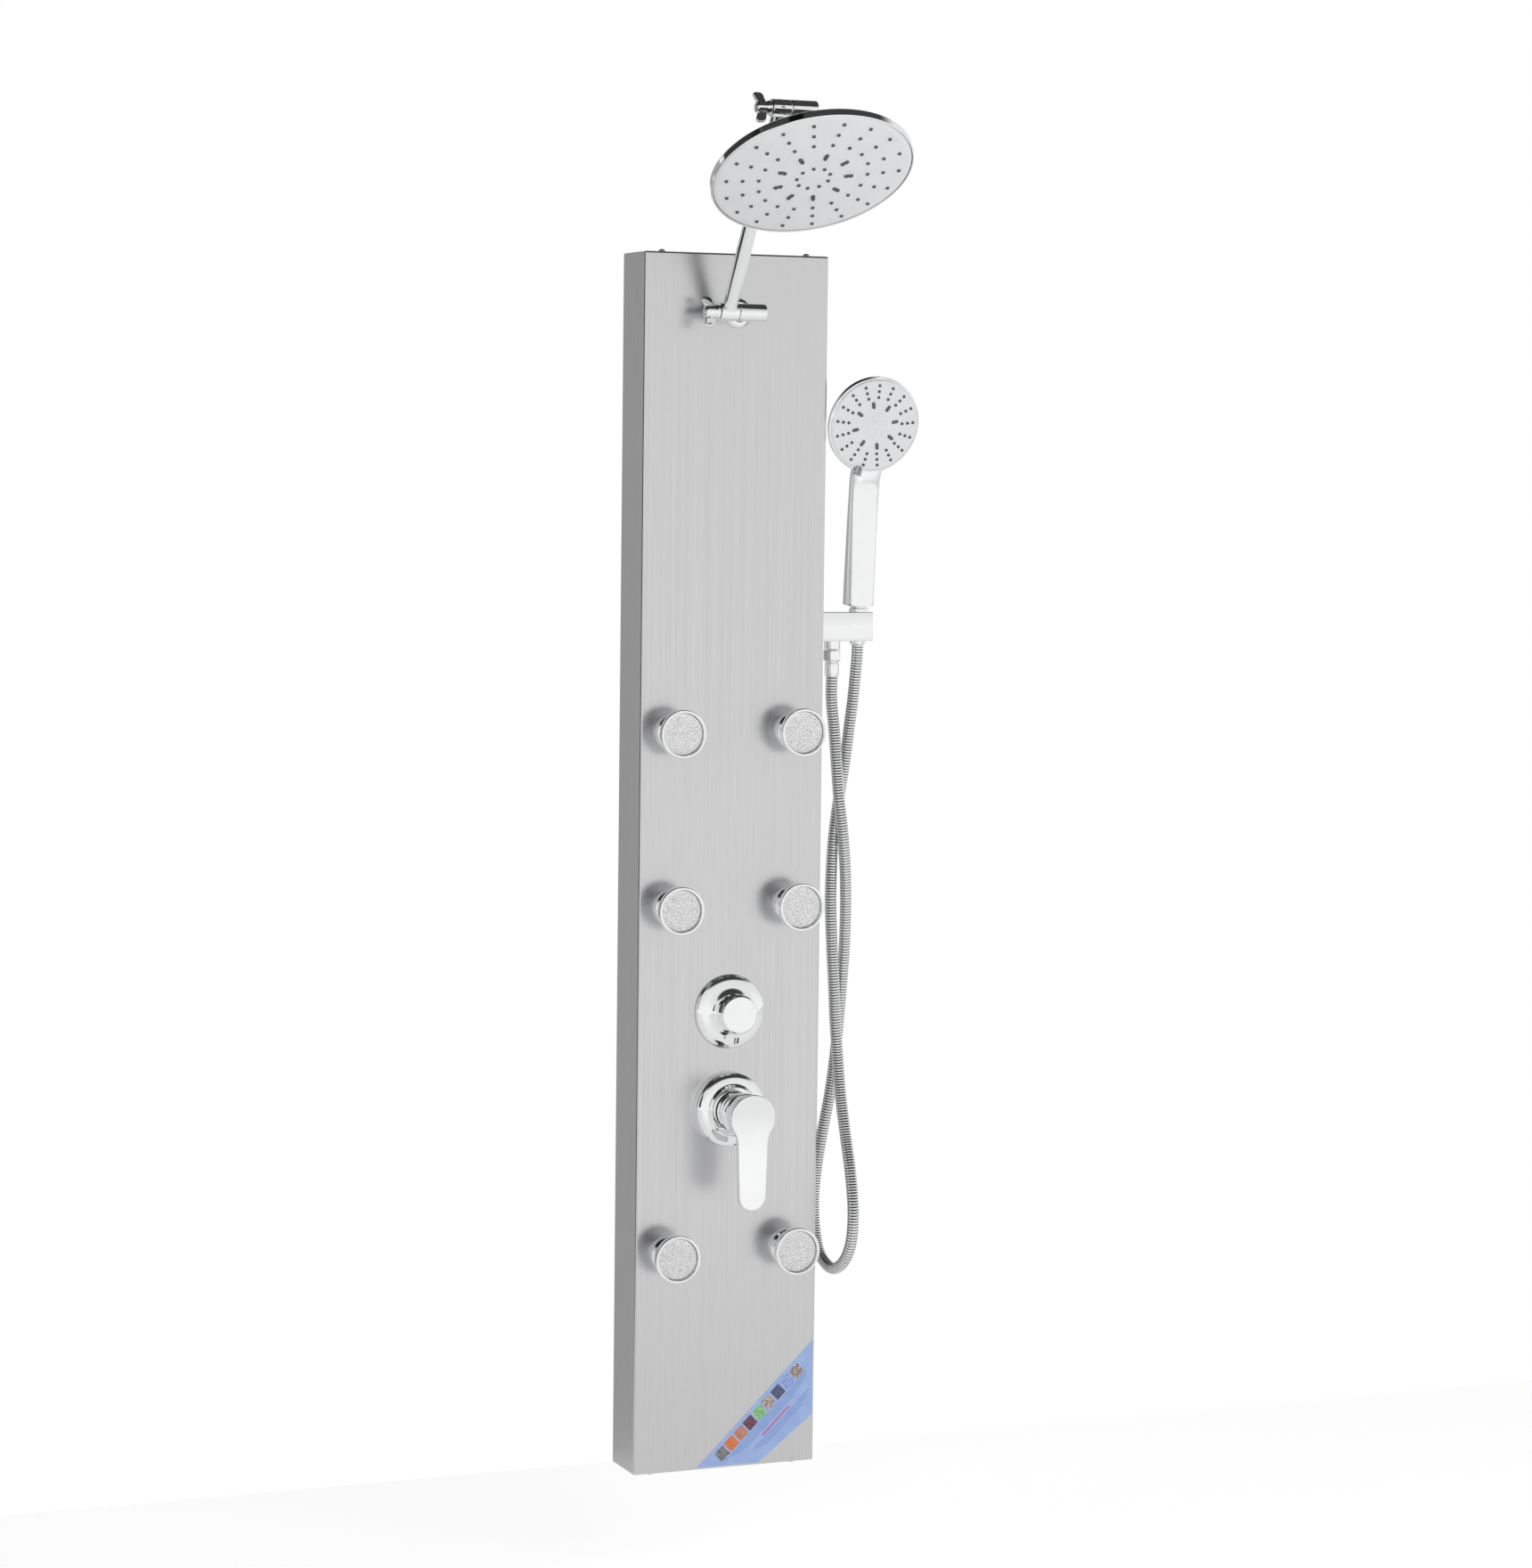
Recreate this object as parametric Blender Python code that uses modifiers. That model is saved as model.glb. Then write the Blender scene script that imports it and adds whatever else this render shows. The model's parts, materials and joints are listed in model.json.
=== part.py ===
"""Rainfall shower column: a steel wall panel with a rain head on a folding arm, a hand shower in a
holder on the right, six swivelling body jets, a lever mixer and a rotary diverter.

Metres, +Z up. The origin is where the upper wall bracket meets the wall, the room is at -Y, and
+X is to the right of someone facing the panel. Heights are measured from the panel's bottom edge
and turned into frame coordinates by up().
"""

import math

import bmesh
import bpy
from mathutils import Matrix, Vector

MM = 0.001
GAP = 0.3 * MM

# The panel.
PANEL_HEIGHT = 1400 * MM
PANEL_WIDTH = 225 * MM
PANEL_DEPTH = 70 * MM
SHEET = 1 * MM
RETURN_WIDTH = 12 * MM
FOLD_RADIUS = 2 * MM
BRACKET_HEIGHT = 1340 * MM

FRONT = -PANEL_DEPTH
SIDE = PANEL_WIDTH / 2


def up(height):
    """The frame's z at a height above the panel's bottom edge."""
    return height - BRACKET_HEIGHT


# The folding arm and the rain head.
LOWER_JOINT = Vector((0, FRONT - 31 * MM, up(1332.5 * MM)))
ARM_LENGTH = 260 * MM
ARM_ANGLE = math.radians(33.6)
UPPER_JOINT = LOWER_JOINT + ARM_LENGTH * Vector((0, -math.sin(ARM_ANGLE), math.cos(ARM_ANGLE)))
KNUCKLE_RADIUS = 10 * MM
SEAM_X = -12.3 * MM
KNUCKLE_LEFT = -34.6 * MM
OUTLET_HALF_END = 21 * MM
HEAD_HALF_END = 19 * MM
BOLT_RADIUS = 4 * MM
TUBE_RADIUS = 8 * MM
NECK_LENGTH = 43 * MM
NECK_ANGLE = math.radians(24)
HEAD_TILT = math.radians(30.5)
HEAD_DROP = 40 * MM
HEAD_RADIUS = 112.5 * MM
HEAD_FACE_RADIUS = 110 * MM
NECK_DIRECTION = Vector((0, -math.sin(NECK_ANGLE), -math.cos(NECK_ANGLE)))
HEAD_NORMAL = Vector((0, -math.sin(HEAD_TILT), -math.cos(HEAD_TILT)))
BALL_CENTRE = UPPER_JOINT + NECK_LENGTH * NECK_DIRECTION
HEAD_CENTRE = BALL_CENTRE + HEAD_DROP * HEAD_NORMAL

# The valves, on the panel's middle line.
MIXER_CENTRE = Vector((0, FRONT, up(421 * MM)))
DIVERTER_CENTRE = Vector((0, FRONT, up(534 * MM)))
PLATE_RADIUS = 43 * MM
LEVER_PIVOT = 30 * MM
VALVE_DEPTH = 32 * MM

# The body jets: two columns of three.
JET_X = 74 * MM
JET_HEIGHTS = (857 * MM, 656 * MM, 256 * MM)
JET_HOLE_RADIUS = 12 * MM
JET_BALL = 16 * MM
SUPPLY_Y = -38 * MM

# The holder and the hand shower.
HOLDER_SIZE = Vector((70 * MM, 28 * MM, 34 * MM))
HOLDER_CENTRE = Vector((SIDE + GAP + HOLDER_SIZE.x / 2, -38 * MM, up(975.3 * MM)))
SEAT_CENTRE = Vector((170 * MM, -38 * MM, up(975.3 * MM)))
OUTLET_X = 137 * MM
HANDLE_LEAN = math.radians(4)
FACE_TILT = math.radians(11)
HANDSET_FACE = Vector((0, -22 * MM, 235 * MM))
HANDSET_RADIUS = 55 * MM

# The hose, from the outlet under the holder to the cone nut.
HOSE_RADIUS = 7 * MM
HOSE_ROUTE = [
    (137, -38, 917), (137, -38, 890), (140, -40, 855), (142, -44, 815), (144, -48, 775),
    (149, -49, 735), (154, -46, 693), (157, -42, 651), (158, -38, 602), (157, -34, 560),
    (155, -31, 517), (152, -28, 468), (147, -25, 422), (141, -21, 382), (136, -17, 342),
    (133, -15, 305), (133, -19, 268), (134, -36, 237), (135, -65, 224), (136, -94, 237),
    (138, -113, 268), (140, -114, 305), (143, -98, 343), (146, -76, 382), (147, -58, 426),
    (146, -50, 471), (143, -48, 514), (141, -47, 557), (139, -44, 604), (138, -41, 652),
    (140, -38, 692), (144, -35, 733), (151, -32, 775), (158, -31, 815), (163, -31, 855),
    (167, -32, 890), (169, -34, 920), (170, -35.6, 941), (170, -36.6, 954.5),
]
HOSE_STEP = 34 * MM

# The screws that hold the casing's ends to the brackets.
SCREW_X = 88.5 * MM
SCREW_Y = -60 * MM


def clear_scene():
    for obj in list(bpy.data.objects):
        bpy.data.objects.remove(obj, do_unlink=True)


def new_collection(name):
    collection = bpy.data.collections.new(name)
    bpy.context.scene.collection.children.link(collection)
    return collection


clear_scene()
PARTS = new_collection("rainfall_shower_column")
CUTTERS = new_collection("cutters")
CUTTERS.hide_render = True


def finish(name, colour, roughness, metallic):
    material = bpy.data.materials.new(name)
    material.use_nodes = True
    shader = material.node_tree.nodes["Principled BSDF"]
    shader.inputs["Base Color"].default_value = (*colour, 1)
    shader.inputs["Roughness"].default_value = roughness
    shader.inputs["Metallic"].default_value = metallic
    return material


STEEL = finish("brushed_steel", (0.62, 0.62, 0.63), 0.32, 1)
GALVANISED = finish("galvanised_steel", (0.5, 0.5, 0.5), 0.5, 1)
CHROME = finish("chrome", (0.85, 0.86, 0.87), 0.06, 1)
BRASS = finish("brass", (0.72, 0.54, 0.26), 0.3, 1)
ZINC = finish("zinc_screw", (0.6, 0.61, 0.62), 0.35, 1)
FACE_GREY = finish("spray_face", (0.78, 0.79, 0.8), 0.4, 0)
SILICONE = finish("silicone", (0.32, 0.33, 0.36), 0.55, 0)
TAB_GREY = finish("selector_grey", (0.6, 0.61, 0.63), 0.3, 0)
NYLON = finish("nylon", (0.85, 0.84, 0.8), 0.45, 0)
HOSE_STEEL = finish("hose_steel", (0.75, 0.76, 0.77), 0.18, 1)
TUBE_PLASTIC = finish("supply_tube", (0.82, 0.83, 0.84), 0.4, 0)


def millimetres(points):
    return [tuple(value * MM for value in point) for point in points]


def facing(point, direction):
    """A place whose local +Z looks along a direction."""
    turn = Vector((0, 0, 1)).rotation_difference(Vector(direction))
    return Matrix.Translation(point) @ turn.to_matrix().to_4x4()


OUT = Vector((0, -1, 0))
LEFT = Vector((-1, 0, 0))


def new_object(name, data, material, place=Matrix(), collection=PARTS):
    obj = bpy.data.objects.new(name, data)
    collection.objects.link(obj)
    if material:
        data.materials.append(material)
    obj.matrix_world = place
    if collection is CUTTERS:
        obj.hide_render = True
        obj.display_type = "WIRE"
    return obj


def add_screw(obj, steps):
    """Turns a profile once round its local Z axis."""
    screw = obj.modifiers.new("turn", "SCREW")
    screw.steps = screw.render_steps = steps
    screw.use_merge_vertices = True
    screw.merge_threshold = 0.00001


def turned(name, profile, material, place=Matrix(), steps=32, collection=PARTS):
    """A turned piece from (radius, z) points in millimetres, down its outside and, where it has
    a hole along the axis, up its inside."""
    mesh = bpy.data.meshes.new(name)
    points = [(radius * MM, 0, z * MM) for radius, z in profile]
    edges = [(i, i + 1) for i in range(len(points) - 1)]
    if profile[0][0] > 0:
        edges.append((len(points) - 1, 0))
    mesh.from_pydata(points, edges, [])
    obj = new_object(name, mesh, material, place, collection)
    add_screw(obj, steps)
    return obj


def arc(radius, centre_z, start, end, count=6):
    """Profile points on a circle about (0, centre_z), by degrees from the +Z axis."""
    angles = [math.radians(start + (end - start) * i / count) for i in range(count + 1)]
    return [(radius * math.sin(a), centre_z + radius * math.cos(a)) for a in angles]


def rod(radius, start, end, material=None, steps=24, name="rod", collection=CUTTERS):
    """A plain round bar between two points, in metres."""
    start, end = Vector(start), Vector(end)
    length = (end - start).length / MM
    profile = [(0, length), (radius / MM, length), (radius / MM, 0), (0, 0)]
    return turned(name, profile, material, facing(start, end - start), steps, collection)


def box(name, low, high, material=None, bevel=0.0, collection=CUTTERS):
    """A block between two corners."""
    low, high = Vector(low), Vector(high)
    mesh = bpy.data.meshes.new(name)
    shape = bmesh.new()
    bmesh.ops.create_cube(shape, size=1)
    bmesh.ops.scale(shape, vec=high - low, verts=shape.verts)
    shape.to_mesh(mesh)
    shape.free()
    obj = new_object(name, mesh, material, Matrix.Translation((low + high) / 2), collection)
    if bevel:
        edge = obj.modifiers.new("edges", "BEVEL")
        edge.width = bevel
        edge.segments = 2
    return obj


def boolean(target, other, operation):
    modifier = target.modifiers.new(operation.lower(), "BOOLEAN")
    modifier.operation = operation
    modifier.object = other
    return target


def cut(target, *cutters):
    for cutter in cutters:
        boolean(target, cutter, "DIFFERENCE")
    return target


def weld(target, *pieces):
    for piece in pieces:
        boolean(target, piece, "UNION")
    return target


def evaluated_mesh(obj):
    """A plain mesh of what the object looks like now, with its loose caps closed."""
    graph = bpy.context.evaluated_depsgraph_get()
    mesh = bpy.data.meshes.new_from_object(obj.evaluated_get(graph))
    shape = bmesh.new()
    shape.from_mesh(mesh)
    bmesh.ops.remove_doubles(shape, verts=shape.verts, dist=0.00001)
    bmesh.ops.recalc_face_normals(shape, faces=shape.faces)
    shape.to_mesh(mesh)
    shape.free()
    return mesh


def plate(name, outline, thickness, material, place=Matrix(), collection=PARTS):
    """A flat piece from an outline in its local XY plane, half its thickness each side of it."""
    curve = bpy.data.curves.new(name, "CURVE")
    curve.dimensions = "2D"
    curve.fill_mode = "BOTH"
    curve.extrude = thickness / 2
    spline = curve.splines.new("POLY")
    spline.points.add(len(outline) - 1)
    for point, (x, y) in zip(spline.points, outline):
        point.co = (x, y, 0, 1)
    spline.use_cyclic_u = True
    flat = new_object(name + "_outline", curve, None)
    mesh = evaluated_mesh(flat)
    bpy.data.objects.remove(flat, do_unlink=True)
    return new_object(name, mesh, material, place, collection)


def catmull(points, step):
    """Points about one step apart on the smooth curve through hand-set route points."""
    route = [Vector(p) for p in points]
    route = [2 * route[0] - route[1]] + route + [2 * route[-1] - route[-2]]
    curve = []
    for a, b, c, d in zip(route, route[1:], route[2:], route[3:]):
        pieces = max(1, round((c - b).length / step))
        for i in range(pieces):
            t = i / pieces
            curve.append(0.5 * (2 * b + (c - a) * t + (2 * a - 5 * b + 4 * c - d) * t * t
                                + (3 * b - a - 3 * c + d) * t ** 3))
    return curve + [route[-2]]


def tube(name, points, radius, material, resolution=2):
    """A round tube along a list of points."""
    curve = bpy.data.curves.new(name, "CURVE")
    curve.dimensions = "3D"
    curve.bevel_depth = radius
    curve.bevel_resolution = resolution
    curve.use_fill_caps = True
    spline = curve.splines.new("POLY")
    spline.points.add(len(points) - 1)
    for point, place in zip(spline.points, points):
        point.co = (*place, 1)
    return new_object(name, curve, material)


def pivot(name, location, *pieces):
    """An empty on a joint's axis, which carries the pieces that the joint moves."""
    empty = bpy.data.objects.new(name, None)
    empty.location = location
    PARTS.objects.link(empty)
    for piece in pieces:
        piece.parent = empty
        piece.matrix_parent_inverse = Matrix.Translation(location).inverted()
    return empty


def route(points):
    """Route points given in millimetres, with heights above the panel's bottom edge."""
    return [Vector((x * MM, y * MM, up(z * MM))) for x, y, z in points]


# Places that several pieces share.
JET_PLACES = [
    facing((side * JET_X, FRONT, up(height)), OUT) for height in JET_HEIGHTS for side in (-1, 1)
]
HEAD_PLACE = facing(HEAD_CENTRE, HEAD_NORMAL)
MIXER_PLACE = facing(MIXER_CENTRE, OUT)
DIVERTER_PLACE = facing(DIVERTER_CENTRE, OUT)
HANDSET_PLACE = Matrix.Translation(SEAT_CENTRE) @ Matrix.Rotation(HANDLE_LEAN, 4, "X")


def make_casing():
    """The folded steel casing: front, four sides and two returns against the wall."""
    low = Vector((-SIDE, FRONT, up(0)))
    high = Vector((SIDE, 0, up(PANEL_HEIGHT)))
    casing = box("panel_casing", low, high, STEEL, FOLD_RADIUS, PARTS)
    wall = Vector((SHEET, SHEET, SHEET))
    cut(casing, box("inside", low + wall, high - wall))
    inset = Vector((RETURN_WIDTH, 0, SHEET))
    cut(casing, box("back_opening", low + inset - 10 * MM * OUT, high - inset - 5 * MM * OUT))
    through = 6 * MM
    holes = [(place.translation, JET_HOLE_RADIUS) for place in JET_PLACES]
    holes += [(MIXER_CENTRE, 22.5 * MM), (DIVERTER_CENTRE, 20.5 * MM)]
    holes += [(Vector((0, FRONT, LOWER_JOINT.z)), 10.4 * MM)]
    for centre, radius in holes:
        cut(casing, rod(radius, centre + through * OUT, centre - through * OUT, steps=16,
                        name="hole"))
    shank = Vector((SIDE, HOLDER_CENTRE.y, HOLDER_CENTRE.z))
    cut(casing, rod(8.4 * MM, shank - through * LEFT, shank + through * LEFT, name="shank_hole"))
    for side in (-1, 1):
        for end in (up(0), up(PANEL_HEIGHT)):
            middle = Vector((side * SCREW_X, SCREW_Y, end))
            reach = Vector((0, 0, through))
            cut(casing, rod(2.3 * MM, middle - reach, middle + reach, steps=12, name="screw_hole"))
    return casing


def make_bracket(name, tip, plate_end):
    """An angle bracket: a plate on the wall and a shelf that the casing's end is screwed to."""
    sheet = 2 * MM
    inward = math.copysign(sheet, plate_end - tip)
    shelf = -66 * MM
    outline = [(0, tip), (shelf, tip), (shelf, tip + inward), (-sheet, tip + inward),
               (-sheet, plate_end), (0, plate_end)]
    sideways = Matrix(((0, 0, 1, 0), (1, 0, 0, 0), (0, 1, 0, 0), (0, 0, 0, 1)))
    bracket = plate(name, outline, 190 * MM, GALVANISED, sideways)
    for side in (-1, 1):
        hole = Vector((side * SCREW_X, SCREW_Y, tip))
        reach = Vector((0, 0, 4 * MM))
        cut(bracket, rod(2.3 * MM, hole - reach, hole + reach, steps=12, name="shelf_hole"))
        anchor = Vector((side * 70 * MM, 0, plate_end - inward * 10))
        cut(bracket, rod(3.5 * MM, anchor + 4 * MM * OUT, anchor - 4 * MM * OUT, steps=16,
                         name="anchor_hole"))
    return bracket


def make_frame():
    make_casing()
    top = up(PANEL_HEIGHT) - SHEET - GAP
    bottom = up(0) + SHEET + GAP
    make_bracket("upper_wall_bracket", top, -20 * MM)
    make_bracket("lower_wall_bracket", bottom, bottom + 80 * MM)
    screw = [(0, 3.0), (2.4, 2.6), (4, 1.2), (4, 0.3), (2, 0.3), (2, -9), (0, -9)]
    for name, side in (("left", -1), ("right", 1)):
        place = facing((side * SCREW_X, SCREW_Y, up(PANEL_HEIGHT)), (0, 0, 1))
        turned(f"casing_screw_{name}", screw, ZINC, place, 12)


def make_wing_nut(name, joint):
    """A hub with two flared wings, on its bolt left of the knuckle."""
    base = Vector((KNUCKLE_LEFT - 0.4 * MM, joint.y, joint.z))
    hub = turned(name, [(5.4, 17), (6.6, 15.5), (6.6, 6), (8, 3), (8, 0), (4.3, 0), (4.3, 17)],
                 CHROME, facing(base, LEFT), 12)
    wing = millimetres([(5, 4), (9, 6.5), (15.5, 8), (17.5, 10.5), (17.5, 17.5), (15, 19), (9, 17),
                        (5, 14)])
    flat = facing(base, LEFT) @ Matrix.Rotation(math.pi / 2, 4, "X")
    for side in (1, -1):
        outline = [(side * x, z) for x, z in wing]
        weld(hub, plate(name + "_wing", outline, 3.4 * MM, None, flat, CUTTERS))
    return hub


def knuckle_half(name, joint, start_x, end_x, material=CHROME, collection=PARTS):
    """Half of an adjustable joint: a short cylinder on the joint's axis, with eased ends."""
    length = (end_x - start_x) / MM
    radius = KNUCKLE_RADIUS / MM
    profile = [(0, length), (radius - 1, length), (radius, length - 1), (radius, 0.6),
               (radius - 0.6, 0), (0, 0)]
    place = facing((start_x, joint.y, joint.z), (1, 0, 0))
    return turned(name, profile, material, place, 20, collection)


def bolt_bore(joint, end_x):
    start = Vector((KNUCKLE_LEFT - 5 * MM, joint.y, joint.z))
    return rod(BOLT_RADIUS + GAP, start, (end_x, joint.y, joint.z), steps=12, name="bolt_bore")


def make_joint_bolt(name, joint):
    start = Vector((11 * MM, joint.y, joint.z))
    end = Vector((KNUCKLE_LEFT - 18.5 * MM, joint.y, joint.z))
    return rod(BOLT_RADIUS, start, end, ZINC, 12, name, PARTS)


def make_arm():
    """The arm from the outlet on the panel up to the rain head's ball."""
    outlet = knuckle_half("arm_outlet", LOWER_JOINT, SEAM_X + GAP, OUTLET_HALF_END)
    inner_end = Vector((0, -47 * MM, LOWER_JOINT.z))
    weld(outlet, rod(9.6 * MM, LOWER_JOINT, inner_end, steps=16, name="outlet_stub"))
    cut(outlet, rod(6 * MM, inner_end - 2 * MM * OUT, LOWER_JOINT, steps=12, name="outlet_bore"))
    cut(outlet, bolt_bore(LOWER_JOINT, 14 * MM))
    wall = facing((0, FRONT, LOWER_JOINT.z), OUT)
    flange = [(11.5, 7), (15, 6), (17.5, 2), (17.5, 0.3), (10, 0.3), (10, 7)]
    turned("arm_flange", flange, CHROME, wall, 20)
    turned("arm_backnut", [(15, -1.4), (15, -7), (10, -7), (10, -1.4)], BRASS, wall, 16)
    make_joint_bolt("lower_joint_bolt", LOWER_JOINT)

    middle = (KNUCKLE_LEFT + SEAM_X) / 2
    lower = Vector((middle, LOWER_JOINT.y, LOWER_JOINT.z))
    upper = Vector((middle, UPPER_JOINT.y, UPPER_JOINT.z))
    arm = knuckle_half("swing_arm", LOWER_JOINT, KNUCKLE_LEFT, SEAM_X)
    weld(arm, knuckle_half("arm_top", UPPER_JOINT, KNUCKLE_LEFT, SEAM_X, None, CUTTERS))
    weld(arm, rod(TUBE_RADIUS, lower, upper, steps=16, name="arm_tube"))
    cut(arm, rod(6 * MM, lower, upper, steps=12, name="arm_bore"))
    cut(arm, bolt_bore(LOWER_JOINT, 0), bolt_bore(UPPER_JOINT, 0))
    upper_bolt = make_joint_bolt("upper_joint_bolt", UPPER_JOINT)

    neck = knuckle_half("head_neck", UPPER_JOINT, SEAM_X + GAP, HEAD_HALF_END)
    length = NECK_LENGTH / MM
    stem = arc(9.5, length, 0, 148, 7) + [(5, 28), (7.5, 20), (7.5, 0), (0, 0)]
    weld(neck, turned("neck_stem", stem, None, facing(UPPER_JOINT, NECK_DIRECTION), 16, CUTTERS))
    bore_end = UPPER_JOINT + 60 * MM * NECK_DIRECTION
    cut(neck, rod(3.5 * MM, UPPER_JOINT, bore_end, steps=12, name="neck_bore"))
    cut(neck, bolt_bore(UPPER_JOINT, 14 * MM))

    lower_nut = make_wing_nut("lower_wing_nut", LOWER_JOINT)
    upper_nut = make_wing_nut("upper_wing_nut", UPPER_JOINT)
    return arm, upper_bolt, neck, lower_nut, upper_nut


def ball_seat(name, inside, outside, start, end, place):
    """A thin spherical band that lines a ball socket."""
    band = arc(outside, 0, start, end, 3) + arc(inside, 0, end, start, 3)
    return turned(name, band, NYLON, place, 20)


def domed(edge_radius, edge_z, rise, count=4):
    """Profile points from the middle of a low dome out to its edge."""
    radii = [edge_radius * i / count for i in range(count + 1)]
    return [(r, edge_z + rise * (1 - (r / edge_radius) ** 2)) for r in radii]


def make_rain_head():
    """The round head: ball seat, ball nut, dished shell, rubber nozzle mat and face plate."""
    seat = ball_seat("head_ball_seat", 9.8, 10.8, 30, 74, facing(BALL_CENTRE, HEAD_NORMAL))
    nut = [(12.3, -20), (14, -20), (15, -21), (15, -41), (12.5, -44.6)]
    nut += arc(9.8, -40, 118, 90, 2) + [(11.3, -40), (12.3, -38.5)]
    ball_nut = turned("head_ball_nut", nut, CHROME, HEAD_PLACE, 20)
    edge = HEAD_RADIUS / MM
    shell = [(edge - 2, 0), (edge, -0.6), (edge, -8.6), (edge - 1.4, -10), (70, -15.2), (12, -19),
             (12, -29), (8, -29), (8, -16.5), (70, -12.7), (edge - 2, -7.5)]
    head = turned("rain_head_shell", shell, CHROME, HEAD_PLACE, 32)
    face = HEAD_FACE_RADIUS / MM
    front = domed(face, -0.6, 4.2, 3) + domed(face, -2.6, 4.2, 3)[::-1]
    plate_face = turned("rain_head_face", front, FACE_GREY, HEAD_PLACE, 32)
    mat = domed(face - 8, -3, 3.6, 2) + [(face - 8, -5), (0, -2)]
    nozzle_mat = turned("rain_head_nozzle_mat", mat, SILICONE, HEAD_PLACE, 24)
    return seat, ball_nut, head, plate_face, nozzle_mat


def make_jets():
    """Six ball-jointed jets; returns each one's ball centre, seat and head."""
    socket = [(16.6, 18), (17, 6), (20, 4), (20, 0.3), (11.6, 0.3), (11.6, -25.7), (5, -25.7)]
    socket += arc(12.9, JET_BALL / MM, 157, 90, 3) + [(12.9, 18)]
    centre = JET_BALL / MM
    body = [(24.6, 38), (27, 38), (27.5, 37.2), (27.5, 30), (25, 27.5), (13, 25)]
    body += arc(11, centre, 47, 155, 3) + [(4, 26.5), (24.6, 30)]
    jets = []
    for number, place in enumerate(JET_PLACES, 1):
        ball = place @ Matrix.Translation((0, 0, JET_BALL))
        turned(f"jet_socket_{number}", socket, CHROME, place, 16)
        seat = ball_seat(f"jet_seat_{number}", 11.5, 12.3, 92, 148, ball)
        head = turned(f"jet_head_{number}", body, CHROME, place, 20)
        jets.append((ball.translation, seat, head))
    return jets


def make_mixer():
    """The mixer: brass valve, cartridge, turning carrier, stem, cover plate, sleeve and lever."""
    body = [(18, 4), (22, 4), (22, -2), (24, -2), (24, -44), (4, -44), (4, -40), (18, -40)]
    valve = turned("mixer_valve_body", body, BRASS, MIXER_PLACE, 20)
    arms = MIXER_CENTRE - VALVE_DEPTH * OUT
    for side in (-1, 1):
        elbow = arms + Vector((side * 45 * MM, 0, 0))
        inner = arms + Vector((side * 21 * MM, 0, 0))
        weld(valve, rod(9 * MM, inner, elbow, steps=12, name="inlet_arm"))
        weld(valve, rod(10 * MM, elbow + Vector((0, 0, 12 * MM)), elbow - Vector((0, 0, 38 * MM)),
                        steps=12, name="inlet"))
        cut(valve, rod(6 * MM, elbow, elbow - Vector((0, 0, 45 * MM)), steps=10, name="inlet_bore"))
        cut(valve, rod(5 * MM, arms, elbow, steps=10, name="inlet_arm_bore"))
    top = Vector((0, 0, 38 * MM))
    weld(valve, rod(9 * MM, arms + top / 2, arms + top, steps=12, name="outlet"))
    cut(valve, rod(6 * MM, arms, arms + top * 1.1, steps=10, name="outlet_bore"))
    cartridge = [(11, 20), (17.6, 20), (17.6, -39), (11, -39)]
    turned("mixer_cartridge", cartridge, NYLON, MIXER_PLACE, 20)
    carrier = [(0, 22), (6, 22), (6, 25), (10.6, 25), (10.6, 8), (0, 8)]
    yoke = turned("mixer_carrier", carrier, NYLON, MIXER_PLACE, 20)
    plate_edge = PLATE_RADIUS / MM
    cover = [(22.6, 19), (27, 19), (29, 17), (30, 14.6), (38, 13), (plate_edge, 9.5),
             (plate_edge, 0.3), (plate_edge - 2, 0.3), (plate_edge - 2, 8), (22.6, 13)]
    turned("mixer_escutcheon", cover, CHROME, MIXER_PLACE, 24)
    sleeve = arc(20, LEVER_PIVOT / MM, 33, 90, 3) + [(20, 22), (22, 20.5), (22, 5), (18.4, 5)]
    sleeve += arc(18.4, LEVER_PIVOT / MM, 90, 37, 3)
    turned("mixer_sleeve", sleeve, CHROME, MIXER_PLACE, 16)
    stem_low = MIXER_CENTRE + 26 * MM * OUT
    stem = rod(4 * MM, stem_low, MIXER_CENTRE + 62 * MM * OUT, ZINC, 4, "mixer_stem", PARTS)
    lever = make_lever()
    return yoke, stem, lever


def make_lever():
    """A round hood over the dome, with a flat paddle hanging from its front."""
    hood = [(0, 77), (25, 77), (26.5, 76.4), (27, 75), (26, 50), (24.4, 39), (0, 39)]
    lever = turned("mixer_lever", hood, CHROME, MIXER_PLACE, 28)
    thickness, top_half, tip_half, length = 7 * MM, 18.5 * MM, 16.4 * MM, 106 * MM
    end_z = -(length - tip_half)
    outline = [(top_half, -12 * MM), (top_half, -40 * MM), (tip_half, end_z)]
    for i in range(1, 10):
        angle = math.pi * i / 10
        outline.append((tip_half * math.cos(angle), end_z - tip_half * math.sin(angle)))
    outline += [(-tip_half, end_z), (-top_half, -40 * MM), (-top_half, -12 * MM)]
    front = MIXER_CENTRE + (77 * MM - thickness / 2 - 0.05 * MM) * OUT
    flat = Matrix.Translation(front) @ Matrix.Rotation(math.pi / 2, 4, "X")
    weld(lever, plate("paddle", outline, thickness, None, flat, CUTTERS))
    hollow = turned("lever_hollow", arc(21, 0, 0, 180, 10), None,
                    facing(MIXER_CENTRE + LEVER_PIVOT * OUT, OUT), 20, CUTTERS)
    cut(lever, hollow)
    socket = MIXER_CENTRE + 40 * MM * OUT
    cut(lever, rod(4.4 * MM, socket, MIXER_CENTRE + 63 * MM * OUT, steps=4, name="stem_socket"))
    return lever


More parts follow.
